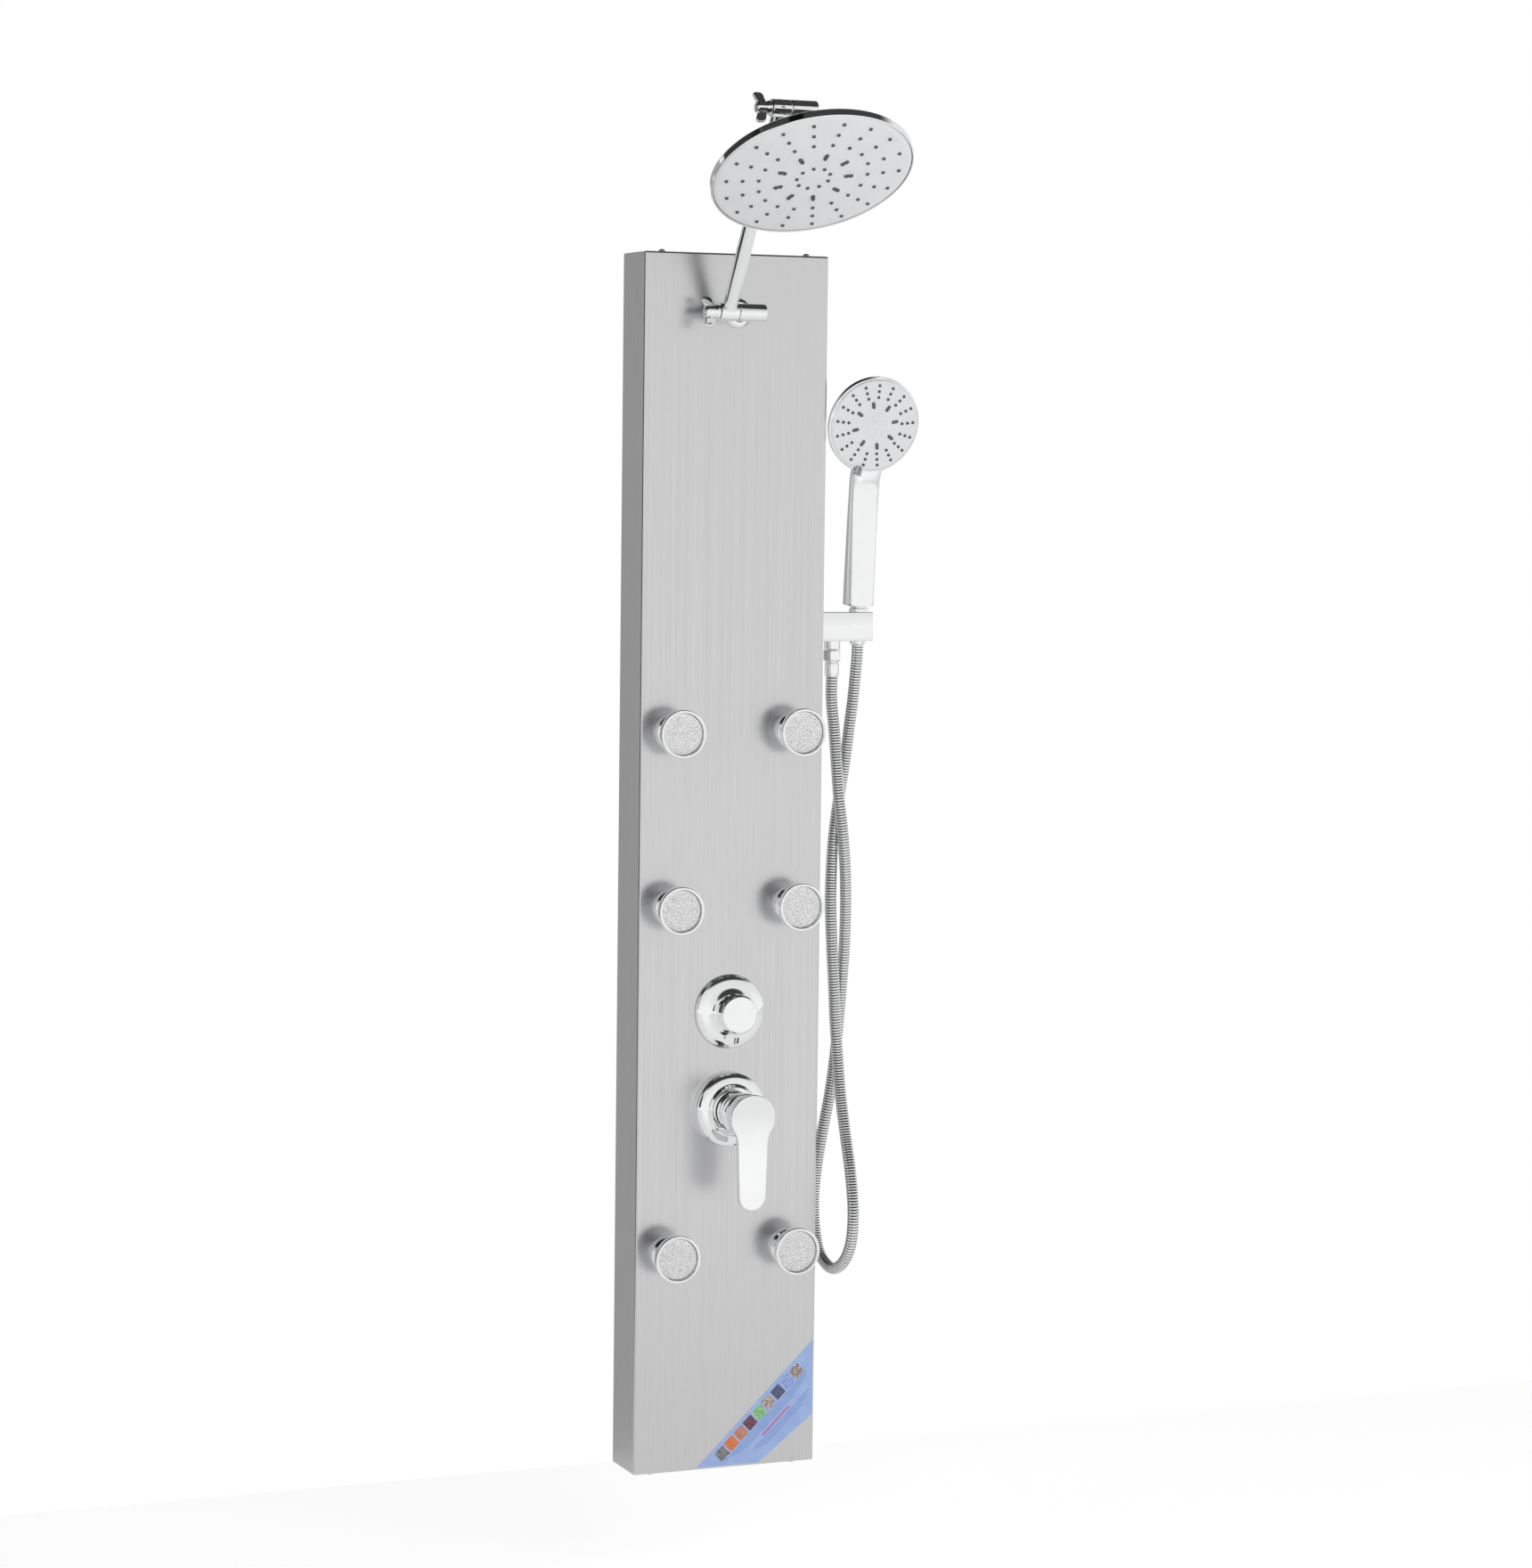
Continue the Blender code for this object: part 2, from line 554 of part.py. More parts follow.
def make_diverter():
    """The diverter: brass valve with three ports, cover plate, stem and round knob."""
    body = [(9, 6), (20, 6), (20, -2), (22, -2), (22, -44), (4, -44), (4, -40), (9, -40)]
    valve = turned("diverter_valve_body", body, BRASS, DIVERTER_PLACE, 20)
    middle = DIVERTER_CENTRE - VALVE_DEPTH * OUT
    for direction in ((1, 0, 0), (-1, 0, 0), (0, 0, 1), (0, 0, -1)):
        way = Vector(direction)
        weld(valve, rod(9 * MM, middle + 18 * MM * way, middle + 34 * MM * way, steps=12,
                        name="port"))
    for way, radius in ((Vector((36 * MM, 0, 0)), 6 * MM), (Vector((0, 0, 36 * MM)), 5.6 * MM)):
        cut(valve, rod(radius, middle - way, middle + way, steps=10, name="port_bore"))
    plate_edge = PLATE_RADIUS / MM
    cover = [(10, 13), (22, 13), (28, 9.5), (38, 6.5), (plate_edge, 3), (plate_edge, 0.3),
             (plate_edge - 3, 0.3), (24, 8.4), (10, 9.5)]
    turned("diverter_escutcheon", cover, CHROME, DIVERTER_PLACE, 24)
    stem = turned("diverter_stem", [(0, 28), (5, 28), (5, 8), (8.6, 7), (8.6, -38), (0, -38)], BRASS,
                  DIVERTER_PLACE, 16)
    knob_shape = [(0, 34), (21, 34), (22.5, 32.5), (22.5, 15), (21, 13.6), (5.4, 13.6), (5.4, 28.4),
                  (0, 28.4)]
    knob = turned("diverter_knob", knob_shape, CHROME, DIVERTER_PLACE, 28)
    return stem, knob


def make_holder():
    """The square block on the panel's side: handset seat, outlet nipple and threaded shank."""
    half = HOLDER_SIZE / 2
    block = box("holder_block", HOLDER_CENTRE - half, HOLDER_CENTRE + half, CHROME, 0.8 * MM, PARTS)
    under = Vector((OUTLET_X, HOLDER_CENTRE.y, HOLDER_CENTRE.z - half.z))
    weld(block, rod(9.5 * MM, under + Vector((0, 0, 4 * MM)), under - Vector((0, 0, 10 * MM)),
                    steps=16, name="nipple"))
    shank = Vector((SIDE, HOLDER_CENTRE.y, HOLDER_CENTRE.z))
    weld(block, rod(8 * MM, shank + 18 * MM * LEFT, shank - 4 * MM * LEFT, steps=16, name="shank"))
    turn = Vector((OUTLET_X, HOLDER_CENTRE.y, HOLDER_CENTRE.z))
    cut(block, rod(5 * MM, shank + 22 * MM * LEFT, turn, steps=10, name="feed_bore"))
    cut(block, rod(5 * MM, turn - Vector((0, 0, 40 * MM)), turn, steps=10, name="nipple_bore"))
    seat = [(0, 22), (12.5, 22), (12.1, 17), (9.9, -17), (9.6, -22), (0, -22)]
    cut(block, turned("seat_cone", seat, None, HANDSET_PLACE, 20, CUTTERS))
    slot = 7.6 * MM
    low = SEAT_CENTRE + Vector((0, -slot, -30 * MM))
    high = SEAT_CENTRE + Vector((30 * MM, slot, 30 * MM))
    cut(block, box("slot", low, high))


def make_hose():
    """The corrugated hose with its nut, end sleeve and cone nut."""
    points = catmull(route(HOSE_ROUTE), HOSE_STEP)
    tube("shower_hose", points, HOSE_RADIUS, HOSE_STEEL)
    nut = [(9.6, 30.9), (10.75, 29.6), (10.75, 19.4), (9.6, 18), (7.75, 18), (7.75, 0), (5, 0),
           (5, 30.9)]
    sleeve_end = Matrix.Translation((OUTLET_X, HOLDER_CENTRE.y, up(917.3 * MM)))
    turned("hose_outlet_nut", nut, CHROME, sleeve_end, 16)
    cone = [(4, 24), (11.4, 24), (11.8, 23), (11.7, 17), (9.5, -17), (9.2, -20.6), (4, -20.6)]
    return turned("hose_cone_nut", cone, CHROME, HANDSET_PLACE, 20)


def loft(name, sections, sides, material, place, collection=PARTS):
    """A closed body through rounded-box sections (z, middle y, half width, half depth), in mm."""
    shape = bmesh.new()
    rings = []
    squareness = 0.42
    for z, middle, wide, deep in sections:
        ring = []
        for i in range(sides):
            angle = 2 * math.pi * (i + 0.5) / sides
            c, s = math.cos(angle), math.sin(angle)
            x = wide * math.copysign(abs(c) ** squareness, c)
            y = middle + deep * math.copysign(abs(s) ** squareness, s)
            ring.append(shape.verts.new((x * MM, y * MM, z * MM)))
        rings.append(ring)
    for low, high in zip(rings, rings[1:]):
        for i in range(sides):
            j = (i + 1) % sides
            shape.faces.new((low[i], low[j], high[j], high[i]))
    shape.faces.new(rings[0][::-1])
    shape.faces.new(rings[-1])
    mesh = bpy.data.meshes.new(name)
    shape.to_mesh(mesh)
    shape.free()
    return new_object(name, mesh, material, place, collection)


def make_handset():
    """The hand shower: one-piece shell, turning face and its selector ring with a tab."""
    normal = Vector((0, -math.cos(FACE_TILT), -math.sin(FACE_TILT)))
    face_place = HANDSET_PLACE @ facing(HANDSET_FACE, normal)
    rim = HANDSET_RADIUS / MM
    head = [(0, -17.5), (30, -16.5), (40, -14), (40, -6.4), (rim - 3.4, -6), (rim - 3.4, 0),
            (rim - 1, 0), (rim, -1), (rim, -6), (52, -12), (43, -18), (26, -21.6), (0, -22.5)]
    shell = turned("handset_shell", head, CHROME, face_place, 28)
    sections = [(24.4, 0, 15.6, 11.2), (26, 0, 16.4, 12), (60, 0, 16.6, 11), (110, 0, 17, 8.8),
                (150, -0.2, 17.4, 7), (178, -0.6, 18, 6.2), (198, -1.2, 18, 4.6)]
    weld(shell, loft("handle", sections, 16, None, HANDSET_PLACE, CUTTERS))
    start = HANDSET_PLACE @ Vector((0, 0, 20 * MM))
    inside = HANDSET_PLACE @ Vector((0, -10 * MM, 205 * MM))
    neck = HANDSET_PLACE @ Vector((0, -1.2 * MM, 150 * MM))
    cut(shell, rod(4.6 * MM, start, neck, steps=12, name="handle_bore"))
    cut(shell, rod(4.4 * MM, neck - 0.01 * (inside - neck), inside, steps=12, name="neck_bore"))
    ring_out, ring_in = rim - 3.8, rim - 6.4
    ring = [(ring_in, 0.4), (ring_out, 0.4), (ring_out, -5), (ring_in, -5)]
    selector = turned("handset_selector", ring, TAB_GREY, face_place, 32)
    tab_angle = math.radians(-17)
    tab_low, tab_high = Vector((-4, 49.5, -1.5)) * MM, Vector((4, 58, 2.6)) * MM
    tab = box("tab", tab_low, tab_high)
    down = face_place.inverted() @ HANDSET_PLACE @ (HANDSET_FACE + Vector((0, 0, -1)))
    tab_turn = math.atan2(down.y, down.x) - math.pi / 2 + tab_angle
    tab.matrix_world = face_place @ Matrix.Rotation(tab_turn, 4, "Z") @ tab.matrix_world
    raise_tab = Matrix.Translation(face_place.to_3x3() @ Vector((0, 0, 1.8 * MM)))
    tab.matrix_world = raise_tab @ tab.matrix_world
    weld(selector, tab)
    disc = domed(ring_in - 0.4, 0.2, 1.6, 2) + [(ring_in - 0.4, -4.6), (0, -4.6)]
    face = turned("handset_face", disc, FACE_GREY, face_place, 32)
    return shell, selector, face, face_place.translation


def make_supply_tubes():
    """The tubes inside the panel."""
    tube_radius = 6 * MM
    port = 34.4 * MM
    mixer_z, diverter_z = MIXER_CENTRE.z, DIVERTER_CENTRE.z
    link = [(0, SUPPLY_Y, mixer_z + 38.4 * MM), (0, SUPPLY_Y, diverter_z - port)]
    tube("mixer_link_tube", link, tube_radius, TUBE_PLASTIC)
    branch = [(-port, SUPPLY_Y, diverter_z), (GAP + tube_radius - JET_X, SUPPLY_Y, diverter_z)]
    tube("jet_feed_tube", branch, tube_radius, TUBE_PLASTIC)
    riser = [(0, -38, 568.6), (0, -36, 590), (0, -26, 625), (0, -22, 670), (0, -22, 900),
             (0, -22, 1250), (0, -22, 1290), (0, -25, 1314), (0, -32, 1329), (0, -40, 1332.4),
             (0, -46.4, 1332.5)]
    tube("riser_tube", catmull(route(riser), 80 * MM), tube_radius, TUBE_PLASTIC)
    feed = [(34.5, -38, 534), (45, -36, 537), (54, -29, 552), (56, -22, 580), (55, -20, 640),
            (55, -20, 800), (56, -20, 900), (60, -27, 945), (70, -36, 970), (82, -38, 975.3),
            (93.9, -38, 975.3)]
    tube("handset_feed_tube", catmull(route(feed), 50 * MM), 5 * MM, TUBE_PLASTIC)
    x = JET_X / MM
    right = [(0, -38, 906), (40, -38, 903), (66, -38, 889), (x, -38, 866), (x, -38, 856),
             (x, -38, 256), (x, -38, 236)]
    loop = [(-across, y, z) for across, y, z in right[:0:-1]] + right
    tube("jet_loop_tube", catmull(route(loop), 300 * MM), tube_radius, TUBE_PLASTIC)


def assemble():
    """Makes every piece and hangs the moving ones on their joints."""
    make_frame()
    arm, upper_bolt, neck, lower_nut, upper_nut = make_arm()
    seat, ball_nut, shell, face_plate, mat = make_rain_head()
    rain_head = pivot("head_roll", BALL_CENTRE, ball_nut, shell, face_plate, mat)
    ball = pivot("head_nod", BALL_CENTRE, seat, rain_head)
    head = pivot("head_pitch", UPPER_JOINT, neck, ball)
    upper_wing = pivot("upper_wing_nut_turn", UPPER_JOINT, upper_nut)
    pivot("arm_swing", LOWER_JOINT, arm, upper_bolt, upper_wing, head)
    pivot("lower_wing_nut_turn", LOWER_JOINT, lower_nut)
    for number, (centre, jet_seat, jet_head) in enumerate(make_jets(), 1):
        tilt = pivot(f"jet_{number}_tilt", centre, jet_head)
        pivot(f"jet_{number}_pan", centre, jet_seat, tilt)
    yoke, stem, lever = make_mixer()
    lift = pivot("lever_lift", MIXER_CENTRE + LEVER_PIVOT * OUT, stem, lever)
    pivot("lever_turn", MIXER_CENTRE + LEVER_PIVOT * OUT, yoke, lift)
    pivot("diverter_turn", DIVERTER_CENTRE, *make_diverter())
    make_holder()
    cone = make_hose()
    handset, selector, face, face_centre = make_handset()
    spray = pivot("spray_select", face_centre, selector, face)
    grip = pivot("handset_turn", SEAT_CENTRE, handset, spray)
    pivot("handset_lift", SEAT_CENTRE, cone, grip)
    make_supply_tubes()


assemble()
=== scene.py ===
# %% [markdown]
# # Rainfall shower column: the visible surfaces
#
# The mechanical model fixes every size and every joint. This notebook dresses it: each visible
# piece is made again as a smooth surface, gets a finish, and rides on the body that moves it.
# Lengths are in metres in the scene and in millimetres inside the shape functions, because fittings
# are drawn in millimetres.

# %% Load the fixed frame
import json

import bmesh
import bpy
import numpy as np
from mathutils import Matrix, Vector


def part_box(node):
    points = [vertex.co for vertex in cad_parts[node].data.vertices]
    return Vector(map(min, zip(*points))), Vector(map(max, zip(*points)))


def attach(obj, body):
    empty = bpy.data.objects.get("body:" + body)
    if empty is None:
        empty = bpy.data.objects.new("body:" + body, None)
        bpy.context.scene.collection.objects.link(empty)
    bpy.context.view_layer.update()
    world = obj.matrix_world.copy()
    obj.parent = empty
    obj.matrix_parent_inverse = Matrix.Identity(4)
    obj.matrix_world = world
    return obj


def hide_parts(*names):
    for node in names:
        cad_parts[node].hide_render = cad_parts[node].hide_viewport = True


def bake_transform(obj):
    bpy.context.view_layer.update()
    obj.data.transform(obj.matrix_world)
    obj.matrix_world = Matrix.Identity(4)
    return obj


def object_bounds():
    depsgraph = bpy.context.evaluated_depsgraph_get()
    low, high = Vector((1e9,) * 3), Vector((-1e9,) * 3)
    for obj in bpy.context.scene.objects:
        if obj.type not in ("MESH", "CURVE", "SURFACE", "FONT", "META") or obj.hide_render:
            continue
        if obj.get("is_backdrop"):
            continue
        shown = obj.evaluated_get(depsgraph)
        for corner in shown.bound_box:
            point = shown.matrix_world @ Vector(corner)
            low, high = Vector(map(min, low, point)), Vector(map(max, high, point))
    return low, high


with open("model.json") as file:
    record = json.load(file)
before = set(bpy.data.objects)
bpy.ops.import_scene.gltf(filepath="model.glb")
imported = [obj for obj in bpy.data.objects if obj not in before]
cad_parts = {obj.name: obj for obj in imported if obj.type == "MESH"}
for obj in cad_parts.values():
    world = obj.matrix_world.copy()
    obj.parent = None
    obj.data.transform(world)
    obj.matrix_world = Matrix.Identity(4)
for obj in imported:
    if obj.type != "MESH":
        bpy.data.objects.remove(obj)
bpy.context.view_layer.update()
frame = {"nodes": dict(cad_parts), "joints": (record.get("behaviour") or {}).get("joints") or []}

# %% [markdown]
# ## Places
#
# Each joint gives a point that a fitting is centred on. A place is a 4 x 4 matrix: its third column
# is the direction that the fitting looks along, so a turned piece can be drawn round its own z axis
# and then put where it belongs. The places could be typed in as numbers, but read from the joints
# they follow the frame.

# %% Places worked out from the joints
MM = 0.001
PANEL_BOTTOM = -1340.0  # the panel's bottom edge, in millimetres from the origin
OUT = np.array([0.0, -1.0, 0.0])
RIGHT = np.array([1.0, 0.0, 0.0])
UP = np.array([0.0, 0.0, 1.0])


def unit(vector):
    vector = np.asarray(vector, float)
    return vector / np.linalg.norm(vector)


def place(origin, direction, sideways=RIGHT):
    """Columns are x, y, z and the origin: z is the direction, x is sideways less its part along z."""
    z = unit(direction)
    x = unit(sideways - np.dot(sideways, z) * z)
    matrix = np.eye(4)
    matrix[:3] = np.stack([x, np.cross(z, x), z, np.asarray(origin, float)], 1)
    return matrix


def put(points, matrix):
    """Local millimetres to metres in the frame: p' = R p / 1000 + origin."""
    return np.asarray(points, float) * MM @ matrix[:3, :3].T + matrix[:3, 3]


JOINTS = {joint["name"]: joint for joint in frame["joints"]}


def joint_point(name):
    return np.array(JOINTS[name]["pos_m"], float)


def low_corner(node):
    return np.array(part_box(node)[0])


def high_corner(node):
    return np.array(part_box(node)[1])


PANEL_FRONT = low_corner("panel_casing")[1]
PANEL_SIDE = high_corner("panel_casing")[0]
PANEL_TOP = high_corner("panel_casing")[2]
LOWER_JOINT = joint_point("arm_swing")
UPPER_JOINT = joint_point("head_pitch")
BALL_CENTRE = joint_point("head_nod")
HEAD_NORMAL = unit(np.cross(JOINTS["head_roll"]["axis"], RIGHT))
HEAD_NORMAL = HEAD_NORMAL * -np.sign(HEAD_NORMAL[2])
HEAD_DROP = 0.040
HEAD_PLACE = place(BALL_CENTRE + HEAD_DROP * HEAD_NORMAL, HEAD_NORMAL)


def on_panel(point):
    """The place on the panel's front straight behind a point, looking out."""
    return place((point[0], PANEL_FRONT, point[2]), OUT)


MIXER_PLACE = on_panel(joint_point("lever_turn"))
DIVERTER_PLACE = on_panel(joint_point("diverter_turn"))
JET_PLACES = [on_panel(joint_point(f"jet_{i}_pan")) for i in range(1, 7)]
HANDSET_AXIS = np.array(JOINTS["handset_lift"]["axis"], float)
SEAT_CENTRE = joint_point("handset_turn")
HANDSET_PLACE = place(SEAT_CENTRE, HANDSET_AXIS)
SPRAY_PLACE = place(joint_point("spray_select"), JOINTS["spray_select"]["axis"])
print("rain head looks along", HEAD_NORMAL.round(3), "from", HEAD_PLACE[:3, 3].round(3))

# %% [markdown]
# ## Camera
#
# The camera stands well to the left of the column and a little above its middle, and uses a long
# lens, so that the column's upright edges stay nearly parallel. A Track To constraint could aim it;
# three angles are plainer and need nothing else in the scene.

# %% Camera
CAMERA_POINT = (-1.7533, -4.3727, -0.1741)
CAMERA_YAW, CAMERA_PITCH, CAMERA_ROLL = np.radians([-22.653, -4.54, 0.700])


def camera_axes(yaw, pitch, roll):
    """Yaw turns the look about z, pitch lifts it, and roll turns right and up about it."""
    right = np.array([np.cos(yaw), np.sin(yaw), 0])
    ahead = np.array([-np.sin(yaw), np.cos(yaw), 0])
    look = ahead * np.cos(pitch) + UP * np.sin(pitch)
    top = UP * np.cos(pitch) - ahead * np.sin(pitch)
    return (right * np.cos(roll) + top * np.sin(roll), top * np.cos(roll) - right * np.sin(roll), look)


camera = bpy.data.objects.new("camera", bpy.data.cameras.new("camera"))
bpy.context.scene.collection.objects.link(camera)
camera.data.sensor_width = 36
camera.data.lens = 93.377
camera_matrix = np.eye(4)
right, top, look = camera_axes(CAMERA_YAW, CAMERA_PITCH, CAMERA_ROLL)
camera_matrix[:3] = np.stack([right, top, -look, CAMERA_POINT], 1)
camera.matrix_world = Matrix(camera_matrix.tolist())
bpy.context.scene.camera = camera
print("camera looks along", look.round(3))

# %% [markdown]
# ## Shader maths as Python
#
# A finish is a graph of small nodes. Wrapping a socket in a class that knows + - * / lets the graph
# be written as an expression, and every other node comes from one method.

# %% Node wrappers
OBJECT_OUTPUT = 3  # the Texture Coordinate node's output for coordinates that stay with the object


class Wire:
    """A node's output; an operator on it adds a Math node and gives its output."""

    def __init__(self, tree, socket):
        self.tree, self.socket = tree, socket

    def maths(self, operation, first, second):
        node = self.tree.nodes.new("ShaderNodeMath")
        node.operation = operation
        for socket, value in zip(node.inputs, (first, second)):
            plug(self.tree, socket, value)
        return Wire(self.tree, node.outputs[0])

    def __add__(self, other):
        return self.maths("ADD", self, other)

    def __sub__(self, other):
        return self.maths("SUBTRACT", self, other)

    def __rsub__(self, other):
        return self.maths("SUBTRACT", other, self)

    def __mul__(self, other):
        return self.maths("MULTIPLY", self, other)

    def __truediv__(self, other):
        return self.maths("DIVIDE", self, other)

    def root(self):
        return self.maths("SQRT", self, 0.0)

    __radd__ = __add__
    __rmul__ = __mul__

    def between(self, low, high):
        """0 below low, 1 above high, and a smooth step from one to the other."""
        settings = {"interpolation_type": "SMOOTHSTEP"}
        return add_node(self.tree, "ShaderNodeMapRange", settings, {0: self, 1: low, 2: high})


def plug(tree, socket, value):
    if isinstance(value, Wire):
        tree.links.new(value.socket, socket)
    else:
        socket.default_value = value


def add_node(tree, kind, settings=None, values=None, output=0):
    """Any node: its settings first, then its sockets' values or links, and one of its outputs."""
    node = tree.nodes.new(kind)
    for name, value in (settings or {}).items():
        setattr(node, name, value)
    for key, value in (values or {}).items():
        plug(tree, node.inputs[key], value)
    return Wire(tree, node.outputs[output])


class Finish:
    """A material with one Principled shader, whose constants sit on its own sockets."""

    def __init__(self, name, colour, roughness, metallic=0.0):
        self.material = bpy.data.materials.new(name)
        self.material.use_nodes = True
        self.tree = self.material.node_tree
        self.shader = self.tree.nodes["Principled BSDF"]
        self.colour = (*colour, 1.0)
        for key, value in {"Base Color": self.colour, "Roughness": roughness, "Metallic": metallic}.items():
            self.shader.inputs[key].default_value = value

    def node(self, kind, settings=None, values=None, output=0):
        return add_node(self.tree, kind, settings, values, output)

    def stretched(self, scale):
        """Object coordinates, scaled so that one unit is one cell of a pattern."""
        start = self.node("ShaderNodeTexCoord", output=OBJECT_OUTPUT)
        return self.node("ShaderNodeMapping", values={0: start, 3: scale})

    def noise(self, scale, detail=2.0, rough=0.5):
        """Soft noise between 0 and 1 with cells of 1 / scale metres along each axis."""
        return self.node("ShaderNodeTexNoise", values={
            "Vector": self.stretched(scale), "Scale": 1.0, "Detail": detail, "Roughness": rough})

    def tint(self, factor, other):
        """The base colour mixed with another one."""
        mixed = self.node("ShaderNodeMix", {"data_type": "RGBA"},
                          {0: factor, 6: self.colour, 7: (*other, 1.0)}, 2)
        self.link("Base Color", mixed)

    def bump(self, height, strength, distance):
        self.link("Normal", self.node("ShaderNodeBump", values={
            "Height": height, "Strength": strength, "Distance": distance}))

    def link(self, socket, wire):
        plug(self.tree, self.shader.inputs[socket], wire)


print("a Wire can do", [word for word in vars(Wire) if word.startswith("__")][2:])

# %% [markdown]
# ## Metal finishes
#
# The casing is stainless steel with a vertical grain: long thin scratches that spread a reflection
# sideways and leave it sharp from top to bottom. The grain is noise stretched a hundredfold along
# z. One layer is too fine to see and only blurs; a broader one gives the faint streaks that the eye
# reads as brushed. The chrome is a mirror with a trace of unevenness, as plating has. A picture of
# steel could give the grain, but noise needs no file and never repeats.

# %% Steel and chrome
def brushed_steel():
    """Grain along z: one noise far too fine to see, which blurs, and one broad enough to streak."""
    steel = Finish("brushed_steel", (0.69, 0.69, 0.695), 0.24, 1.0)
    fine = steel.noise((2600, 2600, 14), 3.0, 0.6)
    broad = steel.noise((700, 700, 1.6), 2.0, 0.5)
    steel.tint((broad * 0.5 + fine * 0.5).between(0.36, 0.66), (0.63, 0.63, 0.64))
    steel.link("Roughness", 0.19 + fine * 0.10 + broad * 0.03)
    steel.bump(fine, 0.06, 0.0004)
    return steel.material


def chrome():
    """Bright plating: a mirror whose sharpness and shade drift a little in soft clouds."""
    colour = (0.93, 0.935, 0.94)
    plating = Finish("chrome", colour, 0.04, 1.0)
    clouds = plating.noise((55, 55, 55), 3.0)
    plating.link("Roughness", 0.025 + clouds * 0.045)
    plating.tint(clouds.between(0.35, 0.8), tuple(0.97 * part for part in colour))
    return plating.material


def galvanised_steel():
    """Zinc crystals: cells of random grey, each with its own roughness."""
    zinc = Finish("galvanised_steel", (0.55, 0.57, 0.59), 0.42, 1.0)
    cells = zinc.node("ShaderNodeTexVoronoi", {"feature": "F1"}, {
        "Vector": zinc.stretched((150, 150, 150)), "Scale": 1.0}, 1)
    grey = zinc.node("ShaderNodeRGBToBW", values={0: cells})
    zinc.tint(grey * 0.55, (0.36, 0.38, 0.41))
    zinc.link("Roughness", 0.34 + grey * 0.22)
    return zinc.material


def turned_metal(name, colour, roughness):
    """Lathe-turned metal: faint mottling and a fine uneven surface."""
    metal = Finish(name, colour, roughness, 1.0)
    clouds = metal.noise((90, 90, 90), 4.0)
    metal.tint(clouds.between(0.4, 0.75), tuple(0.78 * part for part in colour))
    metal.link("Roughness", roughness - 0.06 + clouds * 0.16)
    metal.bump(metal.noise((1500, 1500, 1500), 2.0), 0.12, 0.0002)
    return metal.material


STEEL = brushed_steel()
CHROME = chrome()


def wound_strip_painted_groove_shade():
    """Chrome with painted shade in its grooves: the mesh carries how deep each point lies as an attribute,
    and deeper points are painted darker.
    """
    plating = Finish("hose_steel", (0.88, 0.885, 0.89), 0.10, 1.0)
    groove = plating.node("ShaderNodeAttribute", {"attribute_name": "groove"}, output=2)
    clouds = plating.noise((70, 70, 70), 3.0)
    # painted shade: the colour goes nearly black towards the bottom of each groove
    plating.tint(groove.between(0.2, 0.75), (0.05, 0.05, 0.055))
    plating.link("Roughness", 0.06 + groove * 0.25 + clouds * 0.05)
    return plating.material


HOSE_CHROME = wound_strip_painted_groove_shade()
GALVANISED = galvanised_steel()
BRASS = turned_metal("brass", (0.78, 0.60, 0.32), 0.30)
ZINC = turned_metal("zinc_screw", (0.72, 0.73, 0.75), 0.28)
print("metals:", [m.name for m in (STEEL, CHROME, HOSE_CHROME, GALVANISED, BRASS, ZINC)])

# %% [markdown]
# ## Plastics and rubbers
#
# The spray faces are silver-white plastic with a satin skin; their nozzles are dark rubber. The
# jets have a pale rubber plate with a grainy skin. Each could be one flat colour, but a moulded
# part is never perfectly even, so its colour, roughness and bump vary a little.

# %% Moulded finishes
def moulded(name, colour, roughness, grain=1400, strength=0.10, shade=0.93):
    """Plastic or rubber from a mould: soft clouds in the colour and a fine skin of bumps."""
    plastic = Finish(name, colour, roughness)
    clouds = plastic.noise((40, 40, 40), 2.0)
    skin = plastic.noise((grain, grain, grain), 2.0)
    plastic.tint(clouds.between(0.35, 0.7), tuple(shade * part for part in colour))
    plastic.link("Roughness", roughness - 0.05 + skin * 0.10)
    plastic.bump(skin, strength, 0.0002)
    return plastic.material


def grainy_rubber():
    """Pale rubber whose skin is a field of tiny pits with painted shade in each, and a random darker speckle.
    """
    rubber = Finish("jet_rubber", (0.90, 0.90, 0.90), 0.6)
    pits = rubber.node("ShaderNodeTexVoronoi", {"feature": "F1"}, {
        "Vector": rubber.stretched((620, 620, 620)), "Scale": 1.0})
    speckle = rubber.noise((900, 900, 900), 3.0)
    # painted shade in the pits, plus a random darker speckle
    rubber.tint((1 - pits.between(0.15, 0.50)) * 0.9 + speckle.between(0.55, 0.75) * 0.5, (0.42, 0.42, 0.43))
    rubber.bump(pits + speckle * 0.5, 0.5, 0.0005)
    return rubber.material


FACE_WHITE = moulded("spray_face", (0.80, 0.805, 0.815), 0.34, 1800, 0.05, 0.97)
NOZZLE_RUBBER = moulded("silicone", (0.115, 0.115, 0.13), 0.5, 2200, 0.2, 0.8)
TAB_GREY = moulded("selector_grey", (0.44, 0.445, 0.46), 0.28)
JET_RUBBER = grainy_rubber()
NYLON = moulded("nylon", (0.82, 0.81, 0.76), 0.45)
TUBE_PLASTIC = moulded("supply_tube", (0.80, 0.82, 0.83), 0.30, 900, 0.05, 0.95)
FINISHES = {material.name: material for material in (
    STEEL, CHROME, HOSE_CHROME, GALVANISED, BRASS, ZINC, FACE_WHITE, NOZZLE_RUBBER, TAB_GREY,
    JET_RUBBER, NYLON, TUBE_PLASTIC)}
print(len(FINISHES), "finishes")

# %% [markdown]
# ## Surfaces from arrays
#
# Every shape below is a grid of points: rows run along the piece and columns run round it. The
# faces of a grid are known from its size alone, so one function turns any grid into a closed mesh.
# Modelling tools could make the same shapes by hand; a formula can be read, checked and changed.

